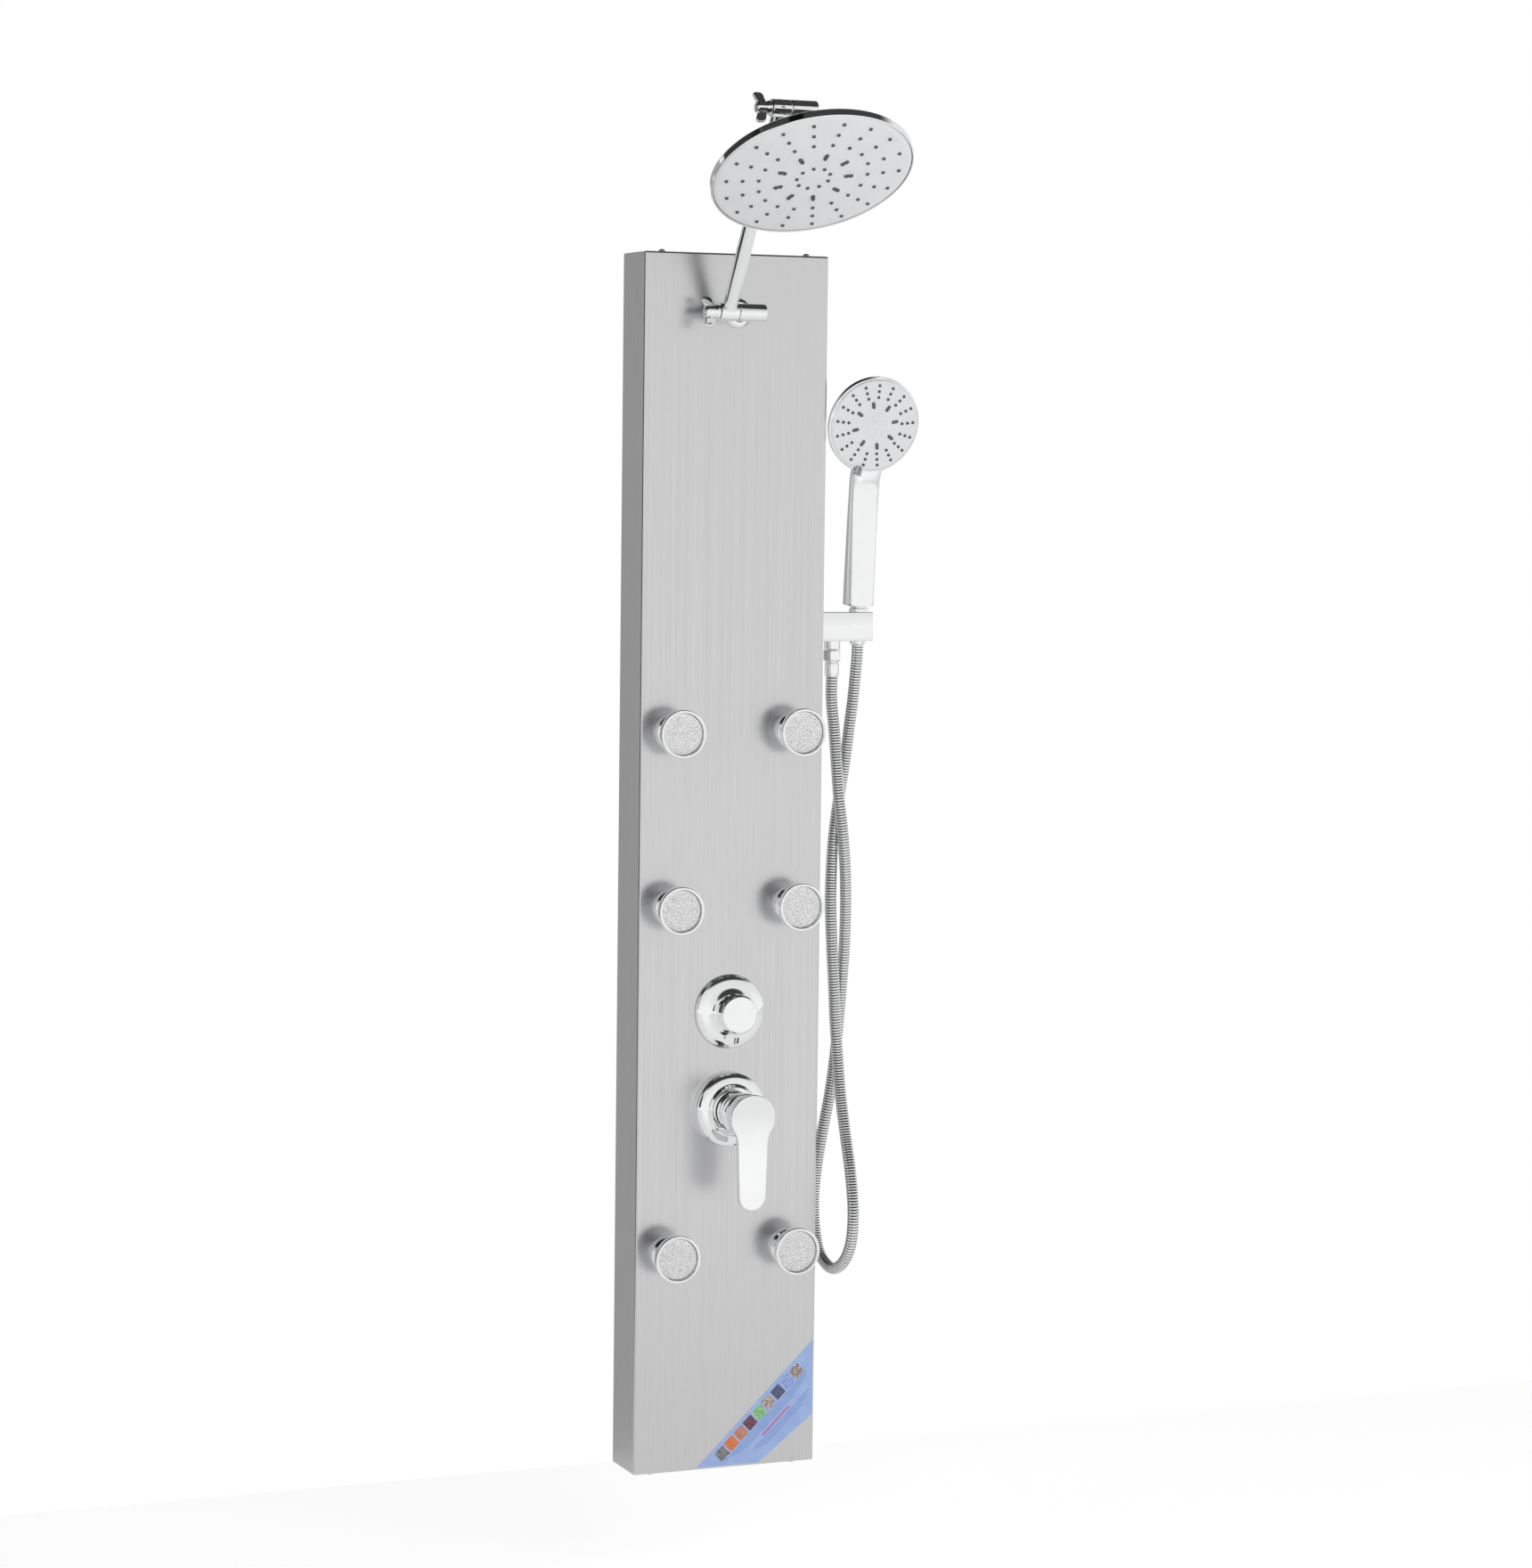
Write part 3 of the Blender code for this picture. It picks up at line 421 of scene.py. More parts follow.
# %% Grid to mesh
def grid_faces(rows, columns, wrap_rows):
    """Quads between neighbours; columns always close round, rows only when wrap_rows is set."""
    i, j = np.meshgrid(np.arange(rows if wrap_rows else rows - 1), np.arange(columns), indexing="ij")
    below, beside = (i + 1) % rows, (j + 1) % columns
    corners = [i * columns + j, i * columns + beside, below * columns + beside, below * columns + j]
    return np.stack(corners, -1).reshape(-1, 4)


SHARP_DEGREES = 38  # a bend over this stays a crisp line


def mesh_piece(name, points, faces, material, sharp=SHARP_DEGREES):
    """A closed mesh: poles merged, faces turned outwards, edges over the sharp angle left crisp."""
    mesh = bpy.data.meshes.new(name)
    mesh.from_pydata(points.reshape(-1, 3).tolist(), [], faces.tolist())
    shape = bmesh.new()
    shape.from_mesh(mesh)
    bmesh.ops.remove_doubles(shape, verts=shape.verts, dist=2e-7)
    bmesh.ops.dissolve_degenerate(shape, edges=shape.edges, dist=1e-7)
    bmesh.ops.recalc_face_normals(shape, faces=shape.faces)
    shape.to_mesh(mesh)
    shape.free()
    mesh.shade_smooth()
    mesh.set_sharp_from_angle(angle=np.radians(sharp))
    mesh.materials.append(material)
    piece = bpy.data.objects.new(name, mesh)
    bpy.context.scene.collection.objects.link(piece)
    return piece


def surface(name, grid, material, wrap_rows=False, sharp=SHARP_DEGREES):
    """One grid as one closed piece."""
    rows, columns = grid.shape[:2]
    return mesh_piece(name, grid, grid_faces(rows, columns, wrap_rows), material, sharp)


def copies(name, grid, places, material):
    """The same small grid put at many places, in one mesh."""
    rows, columns = grid.shape[:2]
    points = np.stack([put(grid.reshape(-1, 3), matrix) for matrix in places])
    first_points = rows * columns * np.arange(len(places))[:, None, None]
    faces = grid_faces(rows, columns, False)[None] + first_points
    return mesh_piece(name, points, faces.reshape(-1, 4), material)


def dress(piece, body, slot, *nodes):
    """Rides the piece on its body and hides the plain nodes it stands for; slot is not used."""
    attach(piece, body)
    if nodes:
        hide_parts(*nodes)
    return piece


print("a 4 x 6 grid has", len(grid_faces(4, 6, False)), "faces, or", len(grid_faces(4, 6, True)), "as a ring")

# %% [markdown]
# ## Profiles, turned pieces and slabs
#
# Plated brass never has a knife edge, and it is the small rounding at each edge that catches the
# light. So a profile is drawn with plain corners and each corner is then replaced by a short curve.
# A Bevel modifier could round the edges later; rounding the profile keeps the faces in tidy rings.

# %% Rounded profiles
def eased(points, reach, closed=False, steps=6):
    """Each corner C becomes (1-t)^2 A + 2t(1-t) C + t^2 B, with A and B on its two sides, reach away.

    A third value in a point is that corner's own reach. One more point just before A and just after B keeps
    the flats beside the curve flat, because shading is smoothed between neighbouring points."""
    rows = [tuple(point) + (reach,) * (3 - len(point)) for point in points]
    corner, own = np.array(rows, float)[:, :2], np.array(rows, float)[:, 2]
    back, ahead = np.roll(corner, 1, 0) - corner, np.roll(corner, -1, 0) - corner
    back_length, ahead_length = np.linalg.norm(back, axis=1), np.linalg.norm(ahead, axis=1)
    pull = np.minimum(own, 0.41 * np.minimum(back_length, ahead_length))
    if not closed:
        pull[[0, -1]] = 0
    start = (corner + back / back_length[:, None] * pull[:, None])[:, None]
    end = (corner + ahead / ahead_length[:, None] * pull[:, None])[:, None]
    t = np.linspace(0, 1, steps)[None, :, None]
    curve = (1 - t) ** 2 * start + 2 * t * (1 - t) * corner[:, None] + t ** 2 * end
    before, after = 1.16 * start - 0.16 * corner[:, None], 1.16 * end - 0.16 * corner[:, None]
    curve = np.concatenate([before, curve, after], 1)
    line = curve.reshape(-1, 2)
    apart = np.linalg.norm(np.diff(line, axis=0), axis=1) > 1e-6
    return line[np.concatenate([[True], apart])]


def turned_grid(profile, reach=0.8, steps=96, grip=None, curve_steps=6):
    """x = r cos a, y = r sin a, z = z along the rounded (r, z) profile; grip(a, z) scales r."""
    line = eased(profile, reach, profile[0][0] > 0, curve_steps)
    angle = np.arange(steps) * 2 * np.pi / steps
    radius = line[:, :1] * np.ones(steps)
    height = line[:, 1:] * np.ones(steps)
    if grip is not None:
        radius = radius * grip(angle[None, :], height)
    return np.stack([radius * np.cos(angle), radius * np.sin(angle), height], -1)


def turned(name, profile, matrix, material, reach=0.8, steps=96, grip=None):
    """A lathe piece; a profile that starts off the axis closes on itself, as a ring does."""
    grid = turned_grid(profile, reach, steps, grip)
    return surface(name, put(grid, matrix), material, profile[0][0] > 0)


def arc_points(radius, centre_z, start, end, count=10):
    """(r, z) on a circle about (0, centre_z), by degrees from the +z axis, with no rounding."""
    angle = np.radians(np.linspace(start, end, count))
    zero = np.zeros(count)
    return [tuple(row) for row in np.stack(
        [radius * np.sin(angle), centre_z + radius * np.cos(angle), zero], 1)]


def slab_grid(outline, thickness, edge, steps=4):
    """A flat piece with rounded edges: ring k lies edge (1 - sin a) inside the outline and
    edge (1 - cos a) above the lower face, and the same, mirrored, below the upper one."""
    outline = np.asarray(outline, float)
    ahead, behind = np.roll(outline, -1, 0), np.roll(outline, 1, 0)
    area = np.sum(outline[:, 0] * ahead[:, 1] - ahead[:, 0] * outline[:, 1])
    tangent = (ahead - behind) * np.sign(area)
    inward = np.stack([-tangent[:, 1], tangent[:, 0]], 1)
    inward /= np.linalg.norm(inward, axis=1)[:, None]
    angle = np.linspace(0, np.pi / 2, steps)
    inset = edge * (1 - np.sin(angle))
    height = -thickness / 2 + edge * (1 - np.cos(angle))
    inset, height = np.append(1.4 * edge, inset), np.append(height[0], height)
    inset, height = np.concatenate([inset, inset[::-1]]), np.concatenate([height, -height[::-1]])
    flat = outline[None] + inset[:, None, None] * inward[None]
    rings = np.concatenate([flat, np.broadcast_to(height[:, None, None], flat.shape[:2] + (1,))], -1)
    middle = outline.mean(0)
    ends = [np.broadcast_to([*middle, z], (1, len(outline), 3)) for z in (height[0], height[-1])]
    return np.concatenate([ends[0], rings, ends[1]])


def slab(name, outline, thickness, matrix, material, edge=0.5):
    """The slab of an outline in millimetres, put at a place."""
    return surface(name, put(slab_grid(outline, thickness, edge), matrix), material)


print("a square corner eased by 1 mm has", len(eased([(0, 0), (9, 0), (9, 9)], 1.0)) - 2, "points")

# %% [markdown]
# ## Tubes
#
# A hose or a pipe could be a curve object with a round bevel. Here it is a grid as well, so that
# its radius can change along it: a smooth line is laid through the route's points, read at even
# steps, and a ring of points is set square to it at each step.

# %% Tubes along a smooth curve
def smooth_curve(points, per_span):
    """Catmull-Rom: between b and c the point is
    (2b + (c-a)t + (2a-5b+4c-d)t^2 + (3b-a-3c+d)t^3) / 2, for all spans at once."""
    p = np.asarray(points, float)
    p = np.vstack([2 * p[0] - p[1], p, 2 * p[-1] - p[-2]])
    a, b, c, d = (p[i:len(p) - 3 + i, None] for i in range(4))
    t = (np.arange(per_span) / per_span)[None, :, None]
    curve = 0.5 * (2 * b + (c - a) * t + (2 * a - 5 * b + 4 * c - d) * t ** 2
                   + (3 * b - a - 3 * c + d) * t ** 3)
    return np.vstack([curve.reshape(-1, p.shape[1]), p[-2]])


def along(curve, spacing):
    """The same curve read at even steps of its own length."""
    steps = np.linalg.norm(np.diff(curve, axis=0), axis=1)
    travelled = np.concatenate([[0], np.cumsum(steps)])
    even = np.linspace(0, travelled[-1], max(2, round(travelled[-1] / spacing)))
    return even, np.stack([np.interp(even, travelled, column) for column in curve.T], 1)


def tube_grid(centre, radius, sides=24, reference=(1, 0, 0)):
    """centre + r (cos a side + sin a top), where side is the reference less its part along the tube."""
    tangent = np.gradient(centre, axis=0)
    tangent /= np.linalg.norm(tangent, axis=1)[:, None]
    reference = np.asarray(reference, float)
    side = reference - (tangent @ reference)[:, None] * tangent
    side /= np.linalg.norm(side, axis=1)[:, None]
    top = np.cross(tangent, side)
    angle = np.arange(sides) * 2 * np.pi / sides
    ring = np.cos(angle)[None, :, None] * side[:, None] + np.sin(angle)[None, :, None] * top[:, None]
    grid = centre[:, None] + np.broadcast_to(radius, len(centre))[:, None, None] * ring
    ends = [np.broadcast_to(point, (1, sides, 3)) for point in (centre[0], centre[-1])]
    return np.concatenate([ends[0], grid, ends[1]])


def route(points):
    """Route points in millimetres, heights above the panel's bottom edge, as frame metres."""
    return (np.array(points, float) + [0, 0, PANEL_BOTTOM]) * MM


print("a route point at the panel's bottom edge is", route([(0, 0, 0)])[0])

# %% [markdown]
# ## The hose
#
# A shower hose is a steel strip wound into a tube, so its outside is a close row of rounded ridges.
# It leaves the outlet under the holder, hangs in one long loop that crosses itself twice, and comes
# up to the cone nut under the hand shower. It is swept along a smooth curve through listed
# points, and the ridges come from its radius, which rises and falls along its length. A helix would
# be truer to the strip, but rings look the same and close simply.

# %% Hose
HOSE_ROUTE = [
    (137, -38, 917), (137, -38, 890), (140, -40, 855), (142, -44, 815), (144, -48, 775),
    (149, -49, 735), (154, -46, 693), (157, -42, 651), (158, -38, 602), (157, -34, 560),
    (155, -31, 517), (152, -28, 468), (147, -25, 422), (141, -21, 382), (136, -17, 342),
    (133, -15, 300), (133, -20, 262), (133, -36, 236), (135, -65, 225), (137, -93, 236),
    (140, -109, 262), (141, -112, 300), (143, -98, 343), (146, -76, 382), (147, -58, 426),
    (146, -50, 471), (143, -48, 514), (141, -47, 557), (139, -44, 604), (138, -41, 652),
    (140, -38, 692), (144, -35, 733), (151, -32, 775), (158, -31, 815), (163, -31, 855),
    (167, -32, 890), (169, -34, 920), (170, -35.6, 941), (170, -36.6, 954.5),
]
HOSE_RADIUS = 7.0 * MM
RIDGE_PITCH = 3.2 * MM
RIDGE_DEPTH = 0.8 * MM


def ridged(distance):
    """r = R - d (1 - |cos(pi s / pitch)|^0.7): broad round ridges with narrow grooves between them."""
    wave = np.abs(np.cos(np.pi * distance / RIDGE_PITCH)) ** 0.7
    return HOSE_RADIUS - RIDGE_DEPTH * (1 - wave)


def mark_grooves(piece, centre, coarse=40, reach=24):
    """groove = (R - r) / depth, with r a point's distance from the nearest centreline point.

    The nearest of every 40th centreline point is found first, and then the nearest one round that."""
    points = np.empty(len(piece.data.vertices) * 3, np.float32)
    piece.data.vertices.foreach_get("co", points)
    points = points.reshape(-1, 3).astype(float)
    near = np.argmin(((points[:, None] - centre[None, ::coarse]) ** 2).sum(-1), 1) * coarse
    window = np.clip(near[:, None] + np.arange(-reach, reach + 1), 0, len(centre) - 1)
    apart = np.sqrt(((points[:, None] - centre[window]) ** 2).sum(-1).min(1))
    attribute = piece.data.attributes.new("groove", "FLOAT", "POINT")
    attribute.data.foreach_set("value", ((HOSE_RADIUS - apart) / RIDGE_DEPTH).astype(np.float32))


STEPS_PER_RIDGE, HOSE_SIDES = 7, 24
hose_distance, hose_path = along(smooth_curve(route(HOSE_ROUTE), 40), RIDGE_PITCH / STEPS_PER_RIDGE)
hose = surface("shower_hose_corrugated", tube_grid(hose_path, ridged(hose_distance), HOSE_SIDES),
               HOSE_CHROME, sharp=60)
mark_grooves(hose, hose_path)
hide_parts("shower_hose")
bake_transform(hose)
print("hose is", round(hose_distance[-1], 3), "m long in", len(hose.data.polygons), "faces")

# %% [markdown]
# ## Hose fittings
#
# At the outlet a nut with grip flats screws on the nipple, and a plain sleeve holds the hose in it.
# At the hand shower the hose ends in a cone that drops into the holder. Both are lathe pieces. A
# Boolean could cut the flats; a function that pulls the radius in as a polygon's sides do leaves
# one clean grid.

# %% Outlet nut and cone nut
def flats(sides, low=-1e9, high=1e9):
    """Scales r to a polygon's side, cos(pi/n) / cos(a mod 2pi/n - pi/n), between two heights."""
    def grip(angle, height):
        part = np.mod(angle, 2 * np.pi / sides) - np.pi / sides
        inside = (height > low) & (height < high)
        return np.where(inside, np.minimum(1, 1.035 * np.cos(np.pi / sides) / np.cos(part)), 1.0)
    return grip


def flutes(count, depth, low=-1e9, high=1e9):
    """Scales r by 1 - depth (1 - |cos(n a / 2)|): a ring of shallow scoops."""
    def grip(angle, height):
        inside = (height > low) & (height < high)
        return np.where(inside, 1 - depth * (1 - np.abs(np.cos(count * angle / 2))), 1.0)
    return grip


outlet = high_corner("hose_outlet_nut")
nut_low = low_corner("hose_outlet_nut")
nut_middle = (outlet + nut_low) / 2
NUT_PLACE = place((nut_middle[0], nut_middle[1], nut_low[2]), UP)
outlet_nut = turned("outlet_nut", [
    (10.2, 30.9), (10.75, 29.5), (10.75, 19.6), (10.0, 18, 1.2), (8.2, 17.2), (7.95, 15.4), (8.3, 14.6),
    (8.3, 3.2), (7.9, 2.2), (7.9, 0), (5.2, 0), (5.2, 30.9)], NUT_PLACE, CHROME, 0.5, 96,
    flats(6, 19, 30))
dress(outlet_nut, "root", "chrome", "hose_outlet_nut")
cone_nut = turned("cone_nut", [
    (4, 24), (9.8, 24), (9.8, 21.8), (11.6, 21.4), (11.75, 17), (9.5, -17), (9.2, -20.6), (4, -20.6)],
    HANDSET_PLACE, CHROME, 0.5, 96, flutes(24, 0.03, 17, 21.6))
dress(cone_nut, "hose_cone", "chrome", "hose_cone_nut")
print("fittings on the hose:", outlet_nut.name, cone_nut.name)

# %% [markdown]
# ## Rain head
#
# The head is a shallow chrome dish with a slightly domed spray plate in it. The plate carries
# eighteen rays of three rubber nozzles, nine pairs joined into slots, and nine nozzles round the
# middle. A flattened cylinder could stand for the dish, but a lathe profile gives its rim, its
# rolled edge and the socket of its ball joint at once.

# %% Rain head shell and face
HEAD_RADIUS, FACE_RADIUS, FACE_RISE = 112.5, 110.0, 4.2


def face_height(radius, edge_radius, edge_height, rise):
    """A low dome: z = edge + rise (1 - (r / edge radius)^2)."""
    return edge_height + rise * (1 - (np.asarray(radius) / edge_radius) ** 2)


def dome_profile(edge_radius, edge_height, rise, count=24):
    """The low dome's (r, z) points from the middle to the edge, with no rounding."""
    radius = np.linspace(0, edge_radius, count)
    height = face_height(radius, edge_radius, edge_height, rise)
    return [(r, z, 0) for r, z in zip(radius, height)]


head_shell = turned("rain_head_dish", [
    (110.4, -0.3), (111.6, 0.1), (112.5, -0.9), (112.5, -8.4), (110.6, -10.4, 2), (70, -15.2, 12),
    (24, -18, 8), (12.4, -19.4, 2), (12.0, -29), (8.2, -29), (8.2, -16.6), (70, -12.9), (110.4, -7.6)],
    HEAD_PLACE, CHROME, 0.9, 160)
dress(head_shell, "rain_head", "chrome", "rain_head_shell")
head_face = turned("rain_head_plate", dome_profile(FACE_RADIUS - 1.2, -0.4, FACE_RISE) + [
    (FACE_RADIUS - 0.2, -1.2), (FACE_RADIUS - 0.2, -5), (0, -5)], HEAD_PLACE, FACE_WHITE, 0.7, 160)
dress(head_face, "rain_head", "spray_face", "rain_head_face", "rain_head_nozzle_mat")
print("dish", len(head_shell.data.polygons), "faces, plate", len(head_face.data.polygons))

# %% [markdown]
# ## Nozzles
#
# A few hundred nozzles could be objects of their own, but one mesh of copies is lighter. Every copy
# is one small grid put at its own place on a ring, a little higher near the middle because the
# plate is a low dome.

# %% Nozzles
def nozzle_grid(radius, height, steps=14):
    """A short cone with a rounded rim and a dimple in its end."""
    profile = [(0, height - 0.7), (radius * 0.28, height - 0.7), (radius * 0.42, height),
               (radius * 0.82, height, radius * 0.3), (radius, -0.4), (0, -0.4)]
    return turned_grid(profile, 0.15, steps, curve_steps=3)


def slot_grid(length, width, height):
    """A stadium-shaped pad: the outline of a rounded bar, made as a slab."""
    angle = np.linspace(-np.pi / 2, np.pi / 2, 9)
    cap = np.stack([np.cos(angle), np.sin(angle)], 1) * width / 2
    right_end = cap + [length / 2 - width / 2, 0]
    outline = np.vstack([right_end, -right_end])
    return slab_grid(outline, height, 0.35, 3) + [0, 0, height / 2 - 0.4]


def rings_on(matrix, ring_radius, count, first, height):
    """Places on a ring, each with its local x pointing away from the ring's centre."""
    angle = np.radians(first) + np.arange(count) * 2 * np.pi / count
    centre = np.stack([ring_radius * np.cos(angle), ring_radius * np.sin(angle),
                       np.full(count, height)], 1)
    outward = np.stack([np.cos(angle), np.sin(angle), np.zeros(count)], 1) @ matrix[:3, :3].T
    return [place(point, matrix[:3, 2], way) for point, way in zip(put(centre, matrix), outward)]


def head_ring(share, count, first):
    """Places on the rain head's plate, at a share of its radius."""
    radius = share * FACE_RADIUS
    return rings_on(HEAD_PLACE, radius, count, first,
                    float(face_height(radius, FACE_RADIUS, -0.4, FACE_RISE)))


head_places = sum([head_ring(share, 18, 90) for share in (0.556, 0.718, 0.88)], [])
head_places += head_ring(0.17, 9, 270)
head_slots = head_ring(0.36, 9, 90)
dress(copies("rain_nozzles", nozzle_grid(2.3, 1.5), head_places, NOZZLE_RUBBER), "rain_head", "silicone")
dress(copies("rain_slots", slot_grid(10.6, 4.6, 1.5), head_slots, NOZZLE_RUBBER), "rain_head", "silicone")
slot_holes = sum([head_ring(share, 9, 90) for share in (0.335, 0.385)], [])
dress(copies("rain_slot_tips", nozzle_grid(1.9, 2.1, 12), slot_holes, NOZZLE_RUBBER), "rain_head", "silicone")
print(len(head_places), "nozzles,", len(head_slots), "slots")

# %% [markdown]
# ## Folding arm
#
# Two adjustable joints carry the head: each is a short cylinder cut across the middle, with a bolt
# through it and a wing nut on the left. The halves are lathe pieces on the joint's axis. The arm is
# a plain tube whose rounded ends sink into them. They could be welded with a Boolean, but closed
# pieces that overlap look the same and keep their shading.

# %% Arm, joints and flange
SEAM_X, KNUCKLE_LEFT, KNUCKLE_RADIUS = -12.3, -34.6, 10.0
OUTLET_END, HEAD_END = 21.0, 19.0
BALL_RADIUS = 9.5


def axis_place(joint):
    """Local z along +x, so that a profile's z is the frame's x in millimetres."""
    return place((0, joint[1], joint[2]), RIGHT, OUT)


def knuckle(start, end):
    """A short cylinder with a fine step at the seam and eased ends."""
    r = KNUCKLE_RADIUS
    return [(0, end, 0), (r - 0.6, end, 1.4), (r, end - 1.2), (r, start + 1.0), (r - 0.5, start + 0.3, 0.3),
            (r - 0.5, start, 0.2), (0, start, 0)]


def join(name, *pieces):
    """Puts several closed meshes in one object, under the first one's material."""
    shape = bmesh.new()
    for piece in pieces:
        shape.from_mesh(piece.data)
    mesh = bpy.data.meshes.new(name)
    shape.to_mesh(mesh)
    shape.free()
    mesh.materials.append(pieces[0].data.materials[0])
    for piece in pieces:
        old = piece.data
        bpy.data.objects.remove(piece)
        bpy.data.meshes.remove(old)
    joined = bpy.data.objects.new(name, mesh)
    bpy.context.scene.collection.objects.link(joined)
    return joined


def bar(name, start, end, radius, material=CHROME, cap=3.0, steps=64):
    """A round bar between two frame points, with its ends eased by cap."""
    start, end = np.asarray(start, float), np.asarray(end, float)
    length = np.linalg.norm(end - start) / MM
    sideways = RIGHT if abs(unit(end - start)[0]) < 0.9 else OUT
    return turned(name, [(0, length, 0), (radius, length, cap), (radius, 0, cap), (0, 0, 0)],
                  place(start, end - start, sideways), material, cap, steps)


arm_x = (SEAM_X + KNUCKLE_LEFT) / 2 * MM
lower_end = LOWER_JOINT + [arm_x, 0, 0]
upper_end = UPPER_JOINT + [arm_x, 0, 0]
arm_way = unit(upper_end - lower_end)
left_half = knuckle(KNUCKLE_LEFT, SEAM_X)
sunk = 8.5 * MM * arm_way  # how far the tube's ends reach into the knuckles
arm = join(
    "swing_arm_tube",
    turned("lower_half", left_half, axis_place(LOWER_JOINT), CHROME),
    turned("upper_half", left_half, axis_place(UPPER_JOINT), CHROME),
    bar("tube", lower_end - sunk, upper_end + sunk, 8.4, cap=6.0))
dress(arm, "arm", "chrome", "swing_arm")

flange_place = place((0, PANEL_FRONT, LOWER_JOINT[2]), OUT)
arm_outlet = join(
    "arm_outlet_body",
    turned("right_half", knuckle(SEAM_X + 0.3, OUTLET_END), axis_place(LOWER_JOINT), CHROME),
    turned("stub", [(0, 26, 0), (9.4, 26), (9.4, -23), (5.8, -23), (5.8, -18), (0, -18, 0)],
           flange_place, CHROME))
dress(arm_outlet, "root", "chrome", "arm_outlet")
dress(turned("arm_cover_flange", [
    (10, 7.4), (13, 7.2, 2), (16.5, 4.2, 2.5), (17.5, 0.3), (10, 0.3)], flange_place, CHROME, 0.6),
    "root", "chrome", "arm_flange")

neck_way = unit(BALL_CENTRE - UPPER_JOINT)
neck_length = np.linalg.norm(BALL_CENTRE - UPPER_JOINT) / MM
neck = join(
    "head_neck_body",
    turned("right_half", knuckle(SEAM_X + 0.3, HEAD_END), axis_place(UPPER_JOINT), CHROME),
    turned("stem", arc_points(BALL_RADIUS, neck_length, 0, 148) + [
        (5, 30, 4), (8.2, 22, 4), (8.2, 0, 0), (0, 0, 0)], place(UPPER_JOINT, neck_way), CHROME))
dress(neck, "head_neck", "chrome", "head_neck")

dress(turned("ball_nut", [
    (12.3, -20), (14.6, -20.4), (15, -22), (15, -38), (13.4, -43), (11.2, -44.4), (9.9, -43.6),
    (11.3, -38.5), (12.3, -37)], HEAD_PLACE, CHROME, 0.7, 144, flutes(18, 0.035, -39, -21)),
    "rain_head", "chrome", "head_ball_nut")
print("arm", round(np.linalg.norm(upper_end - lower_end) / MM), "mm between joints")

# %% [markdown]
# ## Wing nuts
#
# A wing nut is a turned hub with two flat wings that flare outwards. Each wing is a slab cut to a
# rounded outline; the outline's points are (distance from the axis, distance along it). Sculpting
# would suit their soft shape too, but an outline can be measured.

# %% Wing nuts and bolts
WING = [(4.5, 3.2), (9, 5.6), (15.4, 7.0), (17.7, 10.4), (17.7, 17.2), (15, 19.2), (9, 17.4), (4.5, 14.5)]
WING_LEAN = np.radians(20)
WING_WAY = UP * np.cos(WING_LEAN) - OUT * np.sin(WING_LEAN)


def wing_nut(name, joint, body, node, bolt_node, bolt_body):
    """A hub, two wings and the bolt through them, on a joint's axis."""
    base = place((KNUCKLE_LEFT * MM - 0.4 * MM, joint[1], joint[2]), -RIGHT, OUT)
    hub = turned(name + "_hub", [
        (4.3, 17), (5.6, 17), (6.6, 15.2), (6.6, 6.2, 1.5), (8, 3, 1.2), (8, 0), (4.3, 0)],
        base, CHROME, 0.6, 64)
    flat = base.copy()
    flat[:3, :3] = np.stack([WING_WAY, -RIGHT, np.cross(WING_WAY, -RIGHT)], 1)
    outlines = {"up": WING, "down": [(-r, z) for r, z in WING]}
    wings = [slab(f"{name}_{word}", eased(outline, 2.0, True), 3.6, flat, CHROME, 1.2)
             for word, outline in outlines.items()]
    dress(join(name, hub, *wings), body, "chrome", node)
    start, end = (KNUCKLE_LEFT - 18.4) * MM, 11 * MM
    bolt = bar(name + "_bolt", (start, *joint[1:]), (end, *joint[1:]), 3.9, ZINC, 0.8, 40)
    dress(bolt, bolt_body, "zinc_screw", bolt_node)


wing_nut("wing_nut_lower", LOWER_JOINT, "lower_wing_nut", "lower_wing_nut", "lower_joint_bolt", "root")
wing_nut("wing_nut_upper", UPPER_JOINT, "upper_wing_nut", "upper_wing_nut", "upper_joint_bolt", "arm")
print("wing nuts on", LOWER_JOINT.round(3), UPPER_JOINT.round(3))

# %% [markdown]
# ## Diverter
#
# A low dome covers the hole in the panel, and a round knob turns the valve behind it. On the dome
# are two short lines and a dot, which show where the knob points. A mask in the chrome's finish
# could paint them; thin patches stay sharp at any distance, and their height is the dome's own
# height at each point.

# %% Diverter plate, knob and marks
DIVERTER_COVER = [
    (10.4, 13.4), (21, 13.2, 3), (27, 9.2, 4), (37, 7.0, 4), (41.8, 4.4, 2.4), (43, 1.4, 1.4),
    (43, 0.3, 0.2), (41, 0.3), (39, 3), (24, 8.4), (10.4, 9.5)]
dress(turned("diverter_cover", DIVERTER_COVER, DIVERTER_PLACE, CHROME, 0.7, 144),
      "root", "chrome", "diverter_escutcheon")
dress(turned("diverter_grip", [
    (0, 34.0, 0), (20.6, 34, 1.2), (22.5, 32.4, 1.2), (22.5, 16, 1), (21, 13.6), (5.4, 13.6), (5.4, 28.4),
    (0, 28.4, 0)], DIVERTER_PLACE, CHROME, 0.6, 144), "diverter", "chrome", "diverter_knob")


